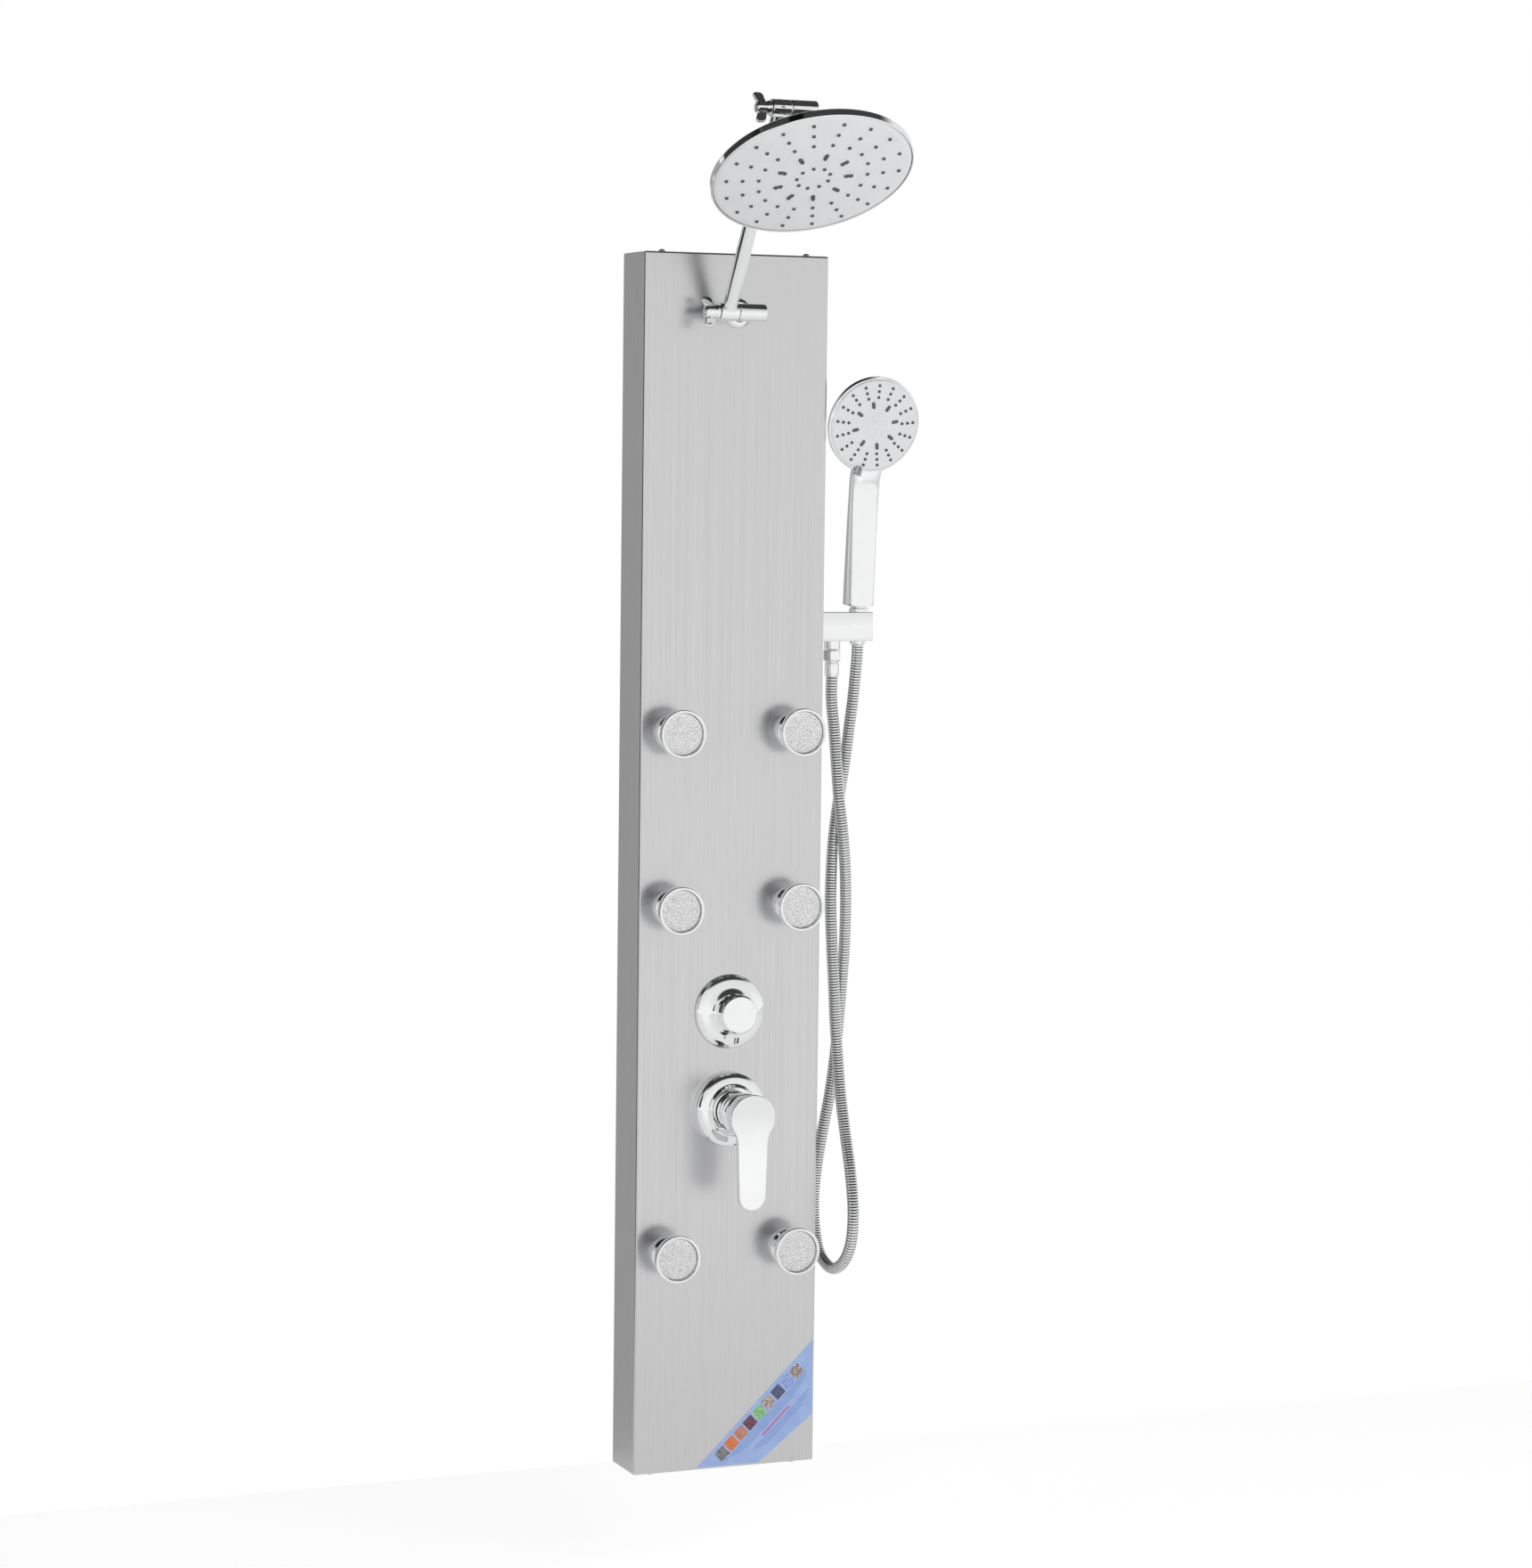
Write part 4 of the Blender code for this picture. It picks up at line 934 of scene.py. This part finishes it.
def patch_on_dome(name, low, high, profile, matrix, material, thickness=0.4, count=9):
    """A thin tile over low <= (x, y) <= high whose height is the dome's height at sqrt(x^2 + y^2).

    The dome's outer skin is the part of its profile above a line from the hub to the rim."""
    skin = eased(profile, 0.7, True)
    skin = skin[np.argsort(skin[:, 0])]
    upper = skin[skin[:, 1] >= np.interp(skin[:, 0], [10, 43], [11, 0.3])]
    x = np.linspace(low[0], high[0], count)
    y = np.linspace(low[1], high[1], count)
    bottom, right, top, left = (np.full(count - 1, value) for value in (low[1], high[0], high[1], low[0]))
    edge = np.concatenate([
        np.stack([x[:-1], bottom], 1), np.stack([right, y[:-1]], 1),
        np.stack([x[:0:-1], top], 1), np.stack([left, y[:0:-1]], 1)])
    middle = edge.mean(0)
    shares = np.linspace(0, 1, 5)[:, None, None]
    flat = middle + shares * (edge[None] - middle)
    height = np.interp(np.hypot(flat[..., 0], flat[..., 1]), upper[:, 0], upper[:, 1])
    top_side = np.concatenate([flat, height[..., None] + thickness], -1)
    under = np.concatenate([flat[::-1], height[::-1, :, None] - thickness], -1)
    return surface(name, put(np.concatenate([top_side, under]), matrix), material)


MARK_BLACK = moulded("mark_black", (0.03, 0.03, 0.03), 0.4)
MARKS = (
    ("diverter_mark_thin", (3.6, -38.5), (4.8, -30.0), MARK_BLACK),
    ("diverter_mark_thick", (7.0, -38.5), (9.0, -30.0), MARK_BLACK),
    ("diverter_mark_dot", (-9.6, -30.4), (-7.2, -28.0), TAB_GREY))
for name, low, high, material in MARKS:
    dress(patch_on_dome(name, low, high, DIVERTER_COVER, DIVERTER_PLACE, material), "root", "selector_grey")
print("diverter at", DIVERTER_PLACE[:3, 3].round(3))

# %% [markdown]
# ## Mixer
#
# The mixer has a deeper cover plate with a rounded wall, a stepped sleeve round the valve, and a
# lever that is a round hood drawn out into a flat paddle. The paddle could be modelled by pulling
# one side of a disc; it is a slab instead, from one line round the disc and down both sides, with a
# hollow curve where they meet.

# %% Mixer plate, sleeve and lever
dress(turned("mixer_cover", [
    (22.6, 18.4), (27.4, 18.6, 1.2), (28.6, 16.8, 1), (30.5, 14.8, 1), (37.6, 13.6, 3.5), (42.4, 10.4, 3.4),
    (43, 6, 2), (43, 0.3, 0.2), (41, 0.3), (41, 7.5), (22.6, 12.6)], MIXER_PLACE, CHROME, 0.7, 144),
    "root", "chrome", "mixer_escutcheon")
dress(turned("mixer_collar", arc_points(20, 30, 33, 88) + [
    (20, 23, 1), (21.9, 21), (21.9, 5), (18.5, 5), (18.5, 29, 1)] + arc_points(18.5, 30, 88, 37),
    MIXER_PLACE, CHROME, 0.5, 128), "root", "chrome", "mixer_sleeve")

LEVER_FRONT, LEVER_THICKNESS, LEVER_RADIUS = 77.0, 7.0, 27.0
PADDLE_NECK, PADDLE_TIP, PADDLE_LENGTH = 18.4, 16.4, 106.0


def lever_outline():
    """Half an outline from the top of the disc to the tip, then its mirror image."""
    disc = np.radians(np.linspace(90, -38, 44))
    side = np.stack([LEVER_RADIUS * np.cos(disc), LEVER_RADIUS * np.sin(disc)], 1)
    tip = np.radians(np.linspace(0, -90, 18))
    end_y = -(PADDLE_LENGTH - PADDLE_TIP)
    round_end = np.stack([PADDLE_TIP * np.cos(tip), end_y + PADDLE_TIP * np.sin(tip)], 1)
    hollow = smooth_curve([side[-2], side[-1], (PADDLE_NECK + 0.5, -24), (PADDLE_NECK - 0.1, -34),
                           (PADDLE_NECK - 0.5, -50)], 5)[5:]
    half = np.vstack([side, hollow[1:], round_end])
    mirrored = half[-2:0:-1] * [-1, 1]
    return np.vstack([half, mirrored])


lever_place = MIXER_PLACE.copy()
lever_place[:3, 3] += OUT * (LEVER_FRONT - LEVER_THICKNESS / 2) * MM
lever = join(
    "mixer_lever_body",
    slab("paddle", lever_outline(), LEVER_THICKNESS, lever_place, CHROME, 1.1),
    turned("hood", [
        (0, 72, 0), (26.9, 72, 0.1), (26.4, 60, 6), (25.3, 46, 6), (24.4, 39), (21.4, 39), (20.9, 40)]
        + arc_points(21, 30, 62, 0), MIXER_PLACE, CHROME, 0.7, 144))
dress(lever, "mixer_lever", "chrome", "mixer_lever")
print("lever outline has", len(lever_outline()), "points")

# %% [markdown]
# ## Body jets
#
# Each jet is a ball in a socket: a stepped ring on the panel, a neck, and a round head whose bezel
# holds a pale rubber plate with a pattern of small raised tips. The tips could stand in rings, but
# a sunflower's spiral spreads any number of points evenly over a disc and shows no rows.

# %% Jets
JET_SOCKET = [
    (13.0, 18.2), (16.4, 18.2), (17.0, 17), (17.2, 7, 1.5), (20, 4.4, 1), (20, 0.3, 0.2), (11.6, 0.3, 0.2),
    (11.6, -25.7), (5, -25.7), (5.2, 4.4), (10, 7), (12.6, 12), (12.9, 16)]
JET_HEAD = [
    (23.9, 37.2), (24.7, 38.0), (26.9, 38.0, 0.9), (27.5, 36.8), (27.5, 31.2, 0.8), (26.6, 29.6),
    (24.6, 27.6, 1.5), (14.6, 26.4, 2.4)] + arc_points(11, 16, 62, 155) + [(4, 26.5, 0.3), (23.9, 31.5)]
JET_PLATE = dome_profile(23.4, 34.4, 0.9, 12) + [(23.7, 33.4), (23.7, 32), (0, 32, 0)]
TIP_SPREAD, TIP_COUNT, GOLDEN_ANGLE = 20.5, 90, np.pi * (3 - np.sqrt(5))


def sunflower(count, spread):
    """Point n lies at radius spread sqrt(n / count), turned by n golden angles."""
    n = np.arange(count) + 0.5
    radius, angle = spread * np.sqrt(n / count), n * GOLDEN_ANGLE
    return np.stack([radius * np.cos(angle), radius * np.sin(angle)], 1)


def jet_tip_places(matrix):
    """The spiral's points lifted on to the plate's low dome."""
    flat = sunflower(TIP_COUNT, TIP_SPREAD)
    height = face_height(np.hypot(*flat.T), 24, 34.4, 0.9)
    centre = put(np.column_stack([flat, height]), matrix)
    return [place(point, matrix[:3, 2]) for point in centre]


for number, matrix in enumerate(JET_PLACES, 1):
    body = f"jet_{number}_head"
    dress(turned(f"jet_ring_{number}", JET_SOCKET, matrix, CHROME, 0.6, 96), "root", "chrome",
          f"jet_socket_{number}")
    dress(turned(f"jet_bezel_{number}", JET_HEAD, matrix, CHROME, 0.6, 112), body, "chrome",
          f"jet_head_{number}")
    dress(turned(f"jet_plate_{number}", JET_PLATE, matrix, JET_RUBBER, 0.4, 96), body, "jet_rubber")
    tips = copies(f"jet_tips_{number}", nozzle_grid(0.85, 0.75, 8), jet_tip_places(matrix), JET_RUBBER)
    dress(tips, body, "jet_rubber")
print("six jets with", TIP_COUNT, "tips each")

# %% [markdown]
# ## Holder
#
# A square chrome block on the panel's side holds the cone and carries the hose outlet under it. A
# cube with a Bevel modifier would do; a slab with eased corners is made like every other piece
# here, and a plain nipple stands below it.

# %% Holder block
def rounded_box_outline(width, depth, corner):
    """A rectangle about the origin with its corners eased."""
    half = np.array([width / 2, depth / 2])
    corners = np.array([(1, 1), (-1, 1), (-1, -1), (1, -1)]) * half
    return eased(corners, corner, True, 8)


BLOCK_WIDTH, BLOCK_DEPTH, BLOCK_HEIGHT, BLOCK_CORNER = 70.0, 28.0, 34.0, 1.4
block_centre = np.array([
    PANEL_SIDE + (BLOCK_WIDTH / 2 + 0.3) * MM, NUT_PLACE[1, 3],
    high_corner("holder_block")[2] - BLOCK_HEIGHT / 2 * MM])
holder = join(
    "holder_block_body",
    slab("block", rounded_box_outline(BLOCK_WIDTH, BLOCK_DEPTH, BLOCK_CORNER), BLOCK_HEIGHT,
         place(block_centre, UP), CHROME, 0.9),
    bar("nipple", (*nut_middle[:2], block_centre[2] - 0.016), (*nut_middle[:2], block_centre[2] - 0.0265),
        9.5, cap=0.6))
dress(holder, "root", "chrome", "holder_block")
print("holder block centre", block_centre.round(4))

# %% [markdown]
# ## Hand shower
#
# The handle flows into the round head as one skin. Each cross-section is a closed curve of sines
# and cosines raised to a power: 2 gives an ellipse and 5 almost a rectangle. Its width is the
# smooth maximum of the handle's width and the disc's chord at that height, (a^p + b^p)^(1/p), which
# makes the hollow curves under the disc. A handle and a disc could be merged by remeshing, but
# chrome mirrors every dent, and a formula has none.

# %% Hand shower shell
HANDSET_RADIUS, HEAD_MIDDLE_Z, HEAD_TILT = 56.5, 235.0, np.radians(11)


def smooth_step(value, low, high):
    """t^2 (3 - 2t), with t from 0 at low to 1 at high."""
    t = np.clip((value - low) / (high - low), 0, 1)
    return t * t * (3 - 2 * t)


def smooth_max(first, second, power=4.0):
    """(a^p + b^p)^(1/p), which is nearly the larger one and rounds the corner where they cross."""
    return (np.abs(first) ** power + np.abs(second) ** power) ** (1 / power)


def handset_grid(columns=96):
    """Rows along the spine; x = W c and depth = M +- (B - M) s, with c and s powered cosine and sine."""
    sweep = np.radians(np.linspace(-78, 90, 76))
    disc = HEAD_MIDDLE_Z + HANDSET_RADIUS * np.cos(HEAD_TILT) * np.sin(sweep)
    z = np.concatenate([[24.4, 24.6, 25.1, 26.0], np.linspace(30, 178, 50), disc])[:, None]
    t = (z - HEAD_MIDDLE_Z) / np.cos(HEAD_TILT)
    chord = np.sqrt(np.clip(HANDSET_RADIUS ** 2 - t ** 2, 0, None))
    handle = np.interp(z, [24.4, 24.6, 25.1, 26, 60, 110, 150, 178, 205, 240],
                       [16.0, 16.6, 17.0, 17.2, 17.2, 17.4, 17.7, 18, 18, 0])
    width = smooth_max(handle, chord, 5.0)
    handle_front = np.interp(z, [24, 60, 110, 300], [-12, -11, -9.2, -3.0])
    disc_front = -22 - (z - HEAD_MIDDLE_Z) * np.tan(HEAD_TILT)
    soft = 3.0  # how wide the turn from the handle's front to the disc's is
    front = -soft * np.log(np.exp(-handle_front / soft) + np.exp(-disc_front / soft))
    rest = soft * np.log1p(np.exp(-np.abs(handle_front - disc_front) / soft))
    front = front + rest * smooth_step(z, 150, 196)
    tilt = HEAD_TILT * smooth_step(z, 145, 183)
    thick = np.interp(z, [24, 60, 110, 150, 178, 205, 262], [29, 27, 22.5, 18.6, 18, 17, 0])
    blend = smooth_step(z, 168, 196)
    angle = np.arange(columns)[None] * 2 * np.pi / columns
    power = 2 / (3.4 + 2.8 * blend)
    cosine, sine = np.cos(angle), np.sin(angle)
    across = width * np.sign(cosine) * np.abs(cosine) ** power
    from_middle = np.hypot(across, t)
    dome = np.interp(from_middle, [0, 14, 26, 36, 43, 48, 52, 54.5, 56, 58],
                     [22.5, 22.4, 21.9, 20.8, 19.2, 17.2, 14.4, 11.6, 9, 8])
    rib = thick * np.clip(1 - np.abs(across / np.maximum(handle, 1)) ** 3, 0, 1) ** (1 / 3)
    back = thick * (1 - blend) + smooth_max(rib, dome) * blend
    middle = thick / 2 * (1 - blend) + 4.0 * blend
    reach = np.where(sine > 0, back - middle, middle)
    depth = middle + reach * np.sign(sine) * np.abs(sine) ** power
    grid = np.stack([across, front + depth * np.cos(tilt), z + depth * np.sin(tilt)], -1)
    ends = [np.broadcast_to(row.mean(0), (1, columns, 3)) for row in (grid[0], grid[-1])]
    return np.concatenate([ends[0], grid, ends[1]])


shell = surface("handset_shell_skin", put(handset_grid(), HANDSET_PLACE), CHROME, sharp=50)
dress(shell, "handset", "chrome", "handset_shell")
print("hand shower shell has", len(shell.data.polygons), "faces")

# %% [markdown]
# ## Hand shower face
#
# The spray plate is a low dome in a thin chrome trim, and turns with a small two-part grey tab that
# the thumb pushes. Seventeen rays of three nozzles leave a gap for the tab's side; eight slots and
# a field of tiny mist tips fill the middle.

# %% Hand shower face
HANDSET_FACE_RADIUS, HANDSET_RISE = 53.0, 1.2
plate_profile = dome_profile(HANDSET_FACE_RADIUS - 1, 1.0, HANDSET_RISE, 16) + [
    (HANDSET_FACE_RADIUS, 0.8, 0.6), (HANDSET_FACE_RADIUS, 0.15), (0, 0.15)]
dress(turned("handset_plate", plate_profile, SPRAY_PLACE, FACE_WHITE, 0.4, 128),
      "handset_face", "spray_face", "handset_face")
trim_profile = [(53.2, 1.0), (54.0, 0.9), (54.5, 0.15), (53.2, 0.15)]
dress(turned("handset_trim", trim_profile, SPRAY_PLACE, CHROME, 0.3, 128), "handset_face", "chrome")


def handset_ring(share, count, first):
    """Places on the hand shower's plate, at a share of its radius."""
    radius = share * HANDSET_FACE_RADIUS
    return rings_on(SPRAY_PLACE, radius, count, first,
                    float(face_height(radius, HANDSET_FACE_RADIUS, 1.0, HANDSET_RISE)))


spray_places = sum([handset_ring(share, 17, 90) for share in (0.635, 0.765, 0.895)], [])
dress(copies("handset_nozzles", nozzle_grid(1.9, 1.2, 12), spray_places, NOZZLE_RUBBER), "handset_face",
      "silicone")
dress(copies("handset_slots", slot_grid(8.2, 3.7, 1.5), handset_ring(0.465, 8, 102), NOZZLE_RUBBER),
      "handset_face", "silicone")
MIST_RINGS = ((0.09, 8), (0.16, 16), (0.23, 24), (0.29, 30))
mist_places = sum([handset_ring(share, count, 10) for share, count in MIST_RINGS], [])
dress(copies("handset_mist_tips", nozzle_grid(0.45, 0.6, 8), mist_places, FACE_WHITE),
      "handset_face", "spray_face")

TAB_RADIUS, TAB_TURN, TAB_LIFT = 55.5, np.radians(-90 - 15), 2.2 * MM
tab_way = np.array([np.cos(TAB_TURN), np.sin(TAB_TURN), 0])
tab_place = place(put(tab_way * TAB_RADIUS, SPRAY_PLACE), SPRAY_PLACE[:3, 2],
                  SPRAY_PLACE[:3, :3] @ tab_way)
tab_place[:3, 3] += SPRAY_PLACE[:3, 2] * TAB_LIFT
tab_outlines = [[(-5.2, -4.6), (5.4, -4.9), (5.4, -0.5), (-5.2, -0.5)],
                [(-6.2, 0.4), (5.4, 0.4), (5.4, 4.9), (-2.2, 4.0)]]
tab = join("selector_tab", *[
    slab(f"tab_{i}", eased(outline, 0.9, True), 3.4, tab_place, TAB_GREY, 0.9)
    for i, outline in enumerate(tab_outlines)])
dress(tab, "handset_face", "selector_grey", "handset_selector")
print("hand shower face at", SPRAY_PLACE[:3, 3].round(3))

# %% [markdown]
# ## Casing screws
#
# The casing is the frame's own mesh with the steel finish on it, because folded sheet is flat and
# sharp already. Small pan-head screws close its two ends, and all four heads are copies of one
# lathe grid.

# %% Screws
SCREW_X, SCREW_Y = 0.0885, -0.060
screw_places = [place((side * SCREW_X, SCREW_Y, z), way) for side in (-1, 1)
                for z, way in ((PANEL_TOP, UP), (PANEL_BOTTOM * MM, -UP))]
screw_grid = turned_grid([(0, 1.5), (1.0, 1.5), (1.3, 2.9), (2.6, 2.5), (4, 1.1), (4, 0.1), (0, 0.1)],
                         0.4, 32, curve_steps=4)
dress(copies("casing_screw_heads", screw_grid, screw_places, ZINC), "root", "zinc_screw",
      "casing_screw_left", "casing_screw_right")
print(len(screw_places), "casing screws")

# %% [markdown]
# ## Label
#
# A film label in plain colours lies across the lower right corner: a pale band, nine little picture
# squares and some rows of bars that stand for small print. A picture file would do it on a real
# sticker; thin coloured tiles need no file, and their colours stay generic.

# %% Label
def film(name, colour, other=None, scale=(900, 900, 900)):
    """Printed film: one colour with a little of another in soft blotches."""
    paper = Finish(name, colour, 0.32)
    blotch = paper.noise(scale, 3.0)
    paper.tint(blotch.between(0.42, 0.60), other or tuple(0.95 * part for part in colour))
    paper.link("Roughness", 0.28 + blotch * 0.10)
    return paper.material


LABEL_PLACE = place((0, PANEL_FRONT, PANEL_BOTTOM * MM), OUT)
LABEL_BAND = [(-34, 2.6), (43, 2.6), (110.2, 54.5), (110.2, 143)]
BAND_START, BAND_END = np.array([-34.0, 2.6]), np.array([110.2, 143.0])
BAND_WAY = unit(BAND_END - BAND_START)
BAND_DOWN = np.array([BAND_WAY[1], -BAND_WAY[0]])


def band_matrix(travel, inset, lift=0.0):
    """A place on the label: so far along its upper edge, so far in from it, turned with it."""
    flat = BAND_START + travel * BAND_WAY + inset * BAND_DOWN
    centre = put([*flat, lift], LABEL_PLACE)
    way = LABEL_PLACE[:3, :2] @ BAND_WAY
    return place(centre, OUT, way)


def label_tile(name, width, height, matrix, material):
    """A rectangle of film, 0.08 mm thick."""
    half = np.array([width, height]) / 2
    corners = np.array([(-1, -1), (1, -1), (1, 1), (-1, 1)]) * half
    dress(slab(name, corners, 0.08, matrix, material, 0.02), "root", "label_film")


label = slab("info_label", LABEL_BAND, 0.16, place(put([0, 0, 0.1], LABEL_PLACE), OUT),
             film("label_blue", (0.36, 0.50, 0.86), (0.40, 0.54, 0.88), (60, 60, 60)), 0.05)
dress(label, "root", "label_film")
PICTURES = [
    ("grey", (0.06, 0.06, 0.08), (0.42, 0.42, 0.45)), ("orange", (0.72, 0.15, 0.04), (0.85, 0.30, 0.10)),
    ("rust", (0.50, 0.13, 0.08), (0.75, 0.40, 0.30)), ("plum", (0.09, 0.02, 0.05), (0.28, 0.12, 0.18)),
    ("green", (0.06, 0.38, 0.09), (0.52, 0.80, 0.42)), ("brown", (0.20, 0.08, 0.06), (0.80, 0.74, 0.70)),
    ("indigo", (0.05, 0.05, 0.13), (0.16, 0.17, 0.32)), ("blue", (0.12, 0.18, 0.66), (0.55, 0.68, 0.95)),
    ("umber", (0.11, 0.05, 0.05), (0.78, 0.70, 0.66))]
for index, (word, colour, other) in enumerate(PICTURES):
    label_tile(f"label_picture_{word}", 14, 14, band_matrix(32.5 + 16.1 * index, 11.8, 0.2),
               film(f"picture_{word}", colour, other))
BAR_BLUE = film("label_bar_blue", (0.14, 0.25, 0.62))
BAR_RED = film("label_bar_red", (0.55, 0.22, 0.42))


def bar_rows(name, rows, first_inset, pitch):
    """Thin bars under each other; each row is (start, length) along the label."""
    for row, (start, length) in enumerate(rows):
        matrix = band_matrix(start + length / 2, first_inset + pitch * row, 0.2)
        label_tile(f"{name}_{row}", length, 0.7, matrix, BAR_BLUE)


bar_rows("label_bar", ((30, 140), (38, 128), (46, 112), (56, 84)), 21.4, 2.7)
label_tile("label_bar_red", 46, 2.4, band_matrix(104, 34.5, 0.2), BAR_RED)
bar_rows("label_bar_low", ((62, 96), (68, 82), (74, 66)), 39.0, 2.9)
print("label band is", round(float(np.linalg.norm(BAND_END - BAND_START))), "mm long")

# %% [markdown]
# ## Inside the panel
#
# From behind one sees brackets, brass valves and plastic tubes. The frame's own brackets and valves
# are kept and given their finishes, since turned metal is faceted enough by nature; the tubes bend,
# so they are swept again as smooth curves.

# %% Tubes and kept nodes
loop_side = [(0, -38, 906), (40, -38, 903), (66, -38, 889), (74, -38, 866), (74, -38, 856), (74, -38, 556),
             (74, -38, 256), (74, -38, 236)]
loop = [(-x, y, z) for x, y, z in loop_side[:0:-1]] + loop_side
TUBES = {
    "riser_tube": (6, route([(0, -38, 568.6), (0, -36, 590), (0, -26, 625), (0, -22, 670), (0, -22, 900),
                             (0, -22, 1250), (0, -22, 1290), (0, -25, 1314), (0, -32, 1329), (0, -40, 1332.4),
                             (0, -46.4, 1332.5)])),
    "handset_feed_tube": (5, route([(34.5, -38, 534), (45, -36, 537), (54, -29, 552), (56, -22, 580),
                                    (55, -20, 640), (55, -20, 800), (56, -20, 900), (60, -27, 945),
                                    (70, -36, 970), (82, -38, 975.3), (93.9, -38, 975.3)])),
    "jet_loop_tube": (6, route(loop)),
}
for node, (radius, points) in TUBES.items():
    path = along(smooth_curve(points, 24), 0.006)[1]
    piece = surface(node + "_smooth", tube_grid(path, radius * MM, 28, (0, 1, 0.02)), TUBE_PLASTIC)
    dress(piece, "root", "supply_tube", node)

for name, node in frame["nodes"].items():
    if node.hide_render:
        continue
    for index, old in enumerate(node.data.materials):
        node.data.materials[index] = FINISHES.get(old.name.split(".")[0], STEEL)
    if not node.data.materials:
        node.data.materials.append(STEEL)
    print("kept", name, [material.name for material in node.data.materials])

# %% [markdown]
# ## Studio
#
# Chrome only shows what is round it, so the studio is made for its reflections: white in front and
# below, dark overhead and in three upright strips at the left. The world's colour depends on
# direction alone. A ray straight from the camera sees pure white. A studio picture could do this;
# strips drawn by angle need no file. One broad lamp lights the matt parts and stays out of the
# chrome.

# %% Light
scene = bpy.context.scene
scene.view_settings.view_transform = "Standard"
world = bpy.data.worlds.new("studio")
world.use_nodes = True
scene.world = world
tree = world.node_tree
background = tree.nodes["Background"]
way = add_node(tree, "ShaderNodeTexCoord", output=0)
x, y, z = (add_node(tree, "ShaderNodeSeparateXYZ", values={0: way}, output=i) for i in range(3))


def strip(centre_degrees, half_width, soft=4):
    """1 inside an upright strip of the studio; 0 degrees is straight out from the panel, 90 its left."""
    angle = np.radians(centre_degrees)
    across = (x * -np.sin(angle) + y * -np.cos(angle)) / (x * x + y * y + 1e-6).root()
    return across.between(np.cos(np.radians(half_width + soft)), np.cos(np.radians(half_width)))


DARK_STRIPS = ((51, 9, 0.90), (118, 21, 0.95), (168, 17, 0.58))  # middle, half width, how dark
level = 0.93 - 0.12 * z.between(-0.05, 0.25)
for middle, half_width, darkness in DARK_STRIPS:
    level = level * (1 - darkness * strip(middle, half_width))
overhead = z.between(0.42, 0.62)
level = level * (1 - 0.94 * overhead)
seen = add_node(tree, "ShaderNodeLightPath", output=0)
strength = seen + (1 - seen) * level
background.inputs["Color"].default_value = (1, 1, 1, 1)
plug(tree, background.inputs["Strength"], strength)


KEY_POINT, KEY_TARGET, KEY_SIZE, KEY_POWER = (0.9, -3.4, 0.3), (0, 0, -0.3), 2.4, 28
key = bpy.data.objects.new("key", bpy.data.lights.new("key", "AREA"))
key.data.shape, key.data.size, key.data.energy = "SQUARE", KEY_SIZE, KEY_POWER
key.matrix_world = Matrix(place(KEY_POINT, np.subtract(KEY_POINT, KEY_TARGET)).tolist())
key.visible_glossy = False
bpy.context.scene.collection.objects.link(key)
print("studio has", len(DARK_STRIPS), "dark strips and one lamp of", KEY_POWER, "W")

# %% [markdown]
# ## Floor
#
# The floor is one large pale plane a little below the column, and ends a little behind it. It
# glows, so that it meets the white world with hardly a line, and glows less just in front of the
# column, where the lever mirrors it.

# %% Floor
FLOOR_SIZE, FLOOR_GAP, FLOOR_EDGE = 40, 0.16, 0.6
bpy.ops.mesh.primitive_plane_add(
    size=FLOOR_SIZE, location=(0, FLOOR_EDGE - FLOOR_SIZE / 2, PANEL_BOTTOM * MM - FLOOR_GAP))
floor = bpy.context.object
floor.name = "studio_floor"
pale = Finish("studio_floor", (0.93, 0.93, 0.93), 0.7)
grain = pale.noise((6, 6, 6), 2.0)
pale.tint(grain, (0.91, 0.91, 0.915))
to_camera = pale.node("ShaderNodeLightPath")
towards_wall = pale.node("ShaderNodeSeparateXYZ", values={0: pale.stretched((1, 1, 1))}, output=1)
near_column = towards_wall.between(15.0, 16.5)  # metres from the plane's own middle
glow = pale.node("ShaderNodeMix", {"data_type": "RGBA"}, {
    0: (1 - to_camera) * near_column, 6: (1, 1, 1, 1), 7: (0.67, 0.67, 0.67, 1)}, 2)
pale.link("Emission Color", glow)
pale.shader.inputs["Emission Strength"].default_value = 0.74
floor.data.materials.append(pale.material)
floor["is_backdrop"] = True
print("floor", FLOOR_SIZE, "m across,", FLOOR_GAP, "m below the column")

# %% [markdown]
# ## Size and finish
#
# The dressed object's bounds are measured and printed.

# %% Measure and finish
low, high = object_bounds()
print("after ", [round(v, 4) for v in (*low, *high)])
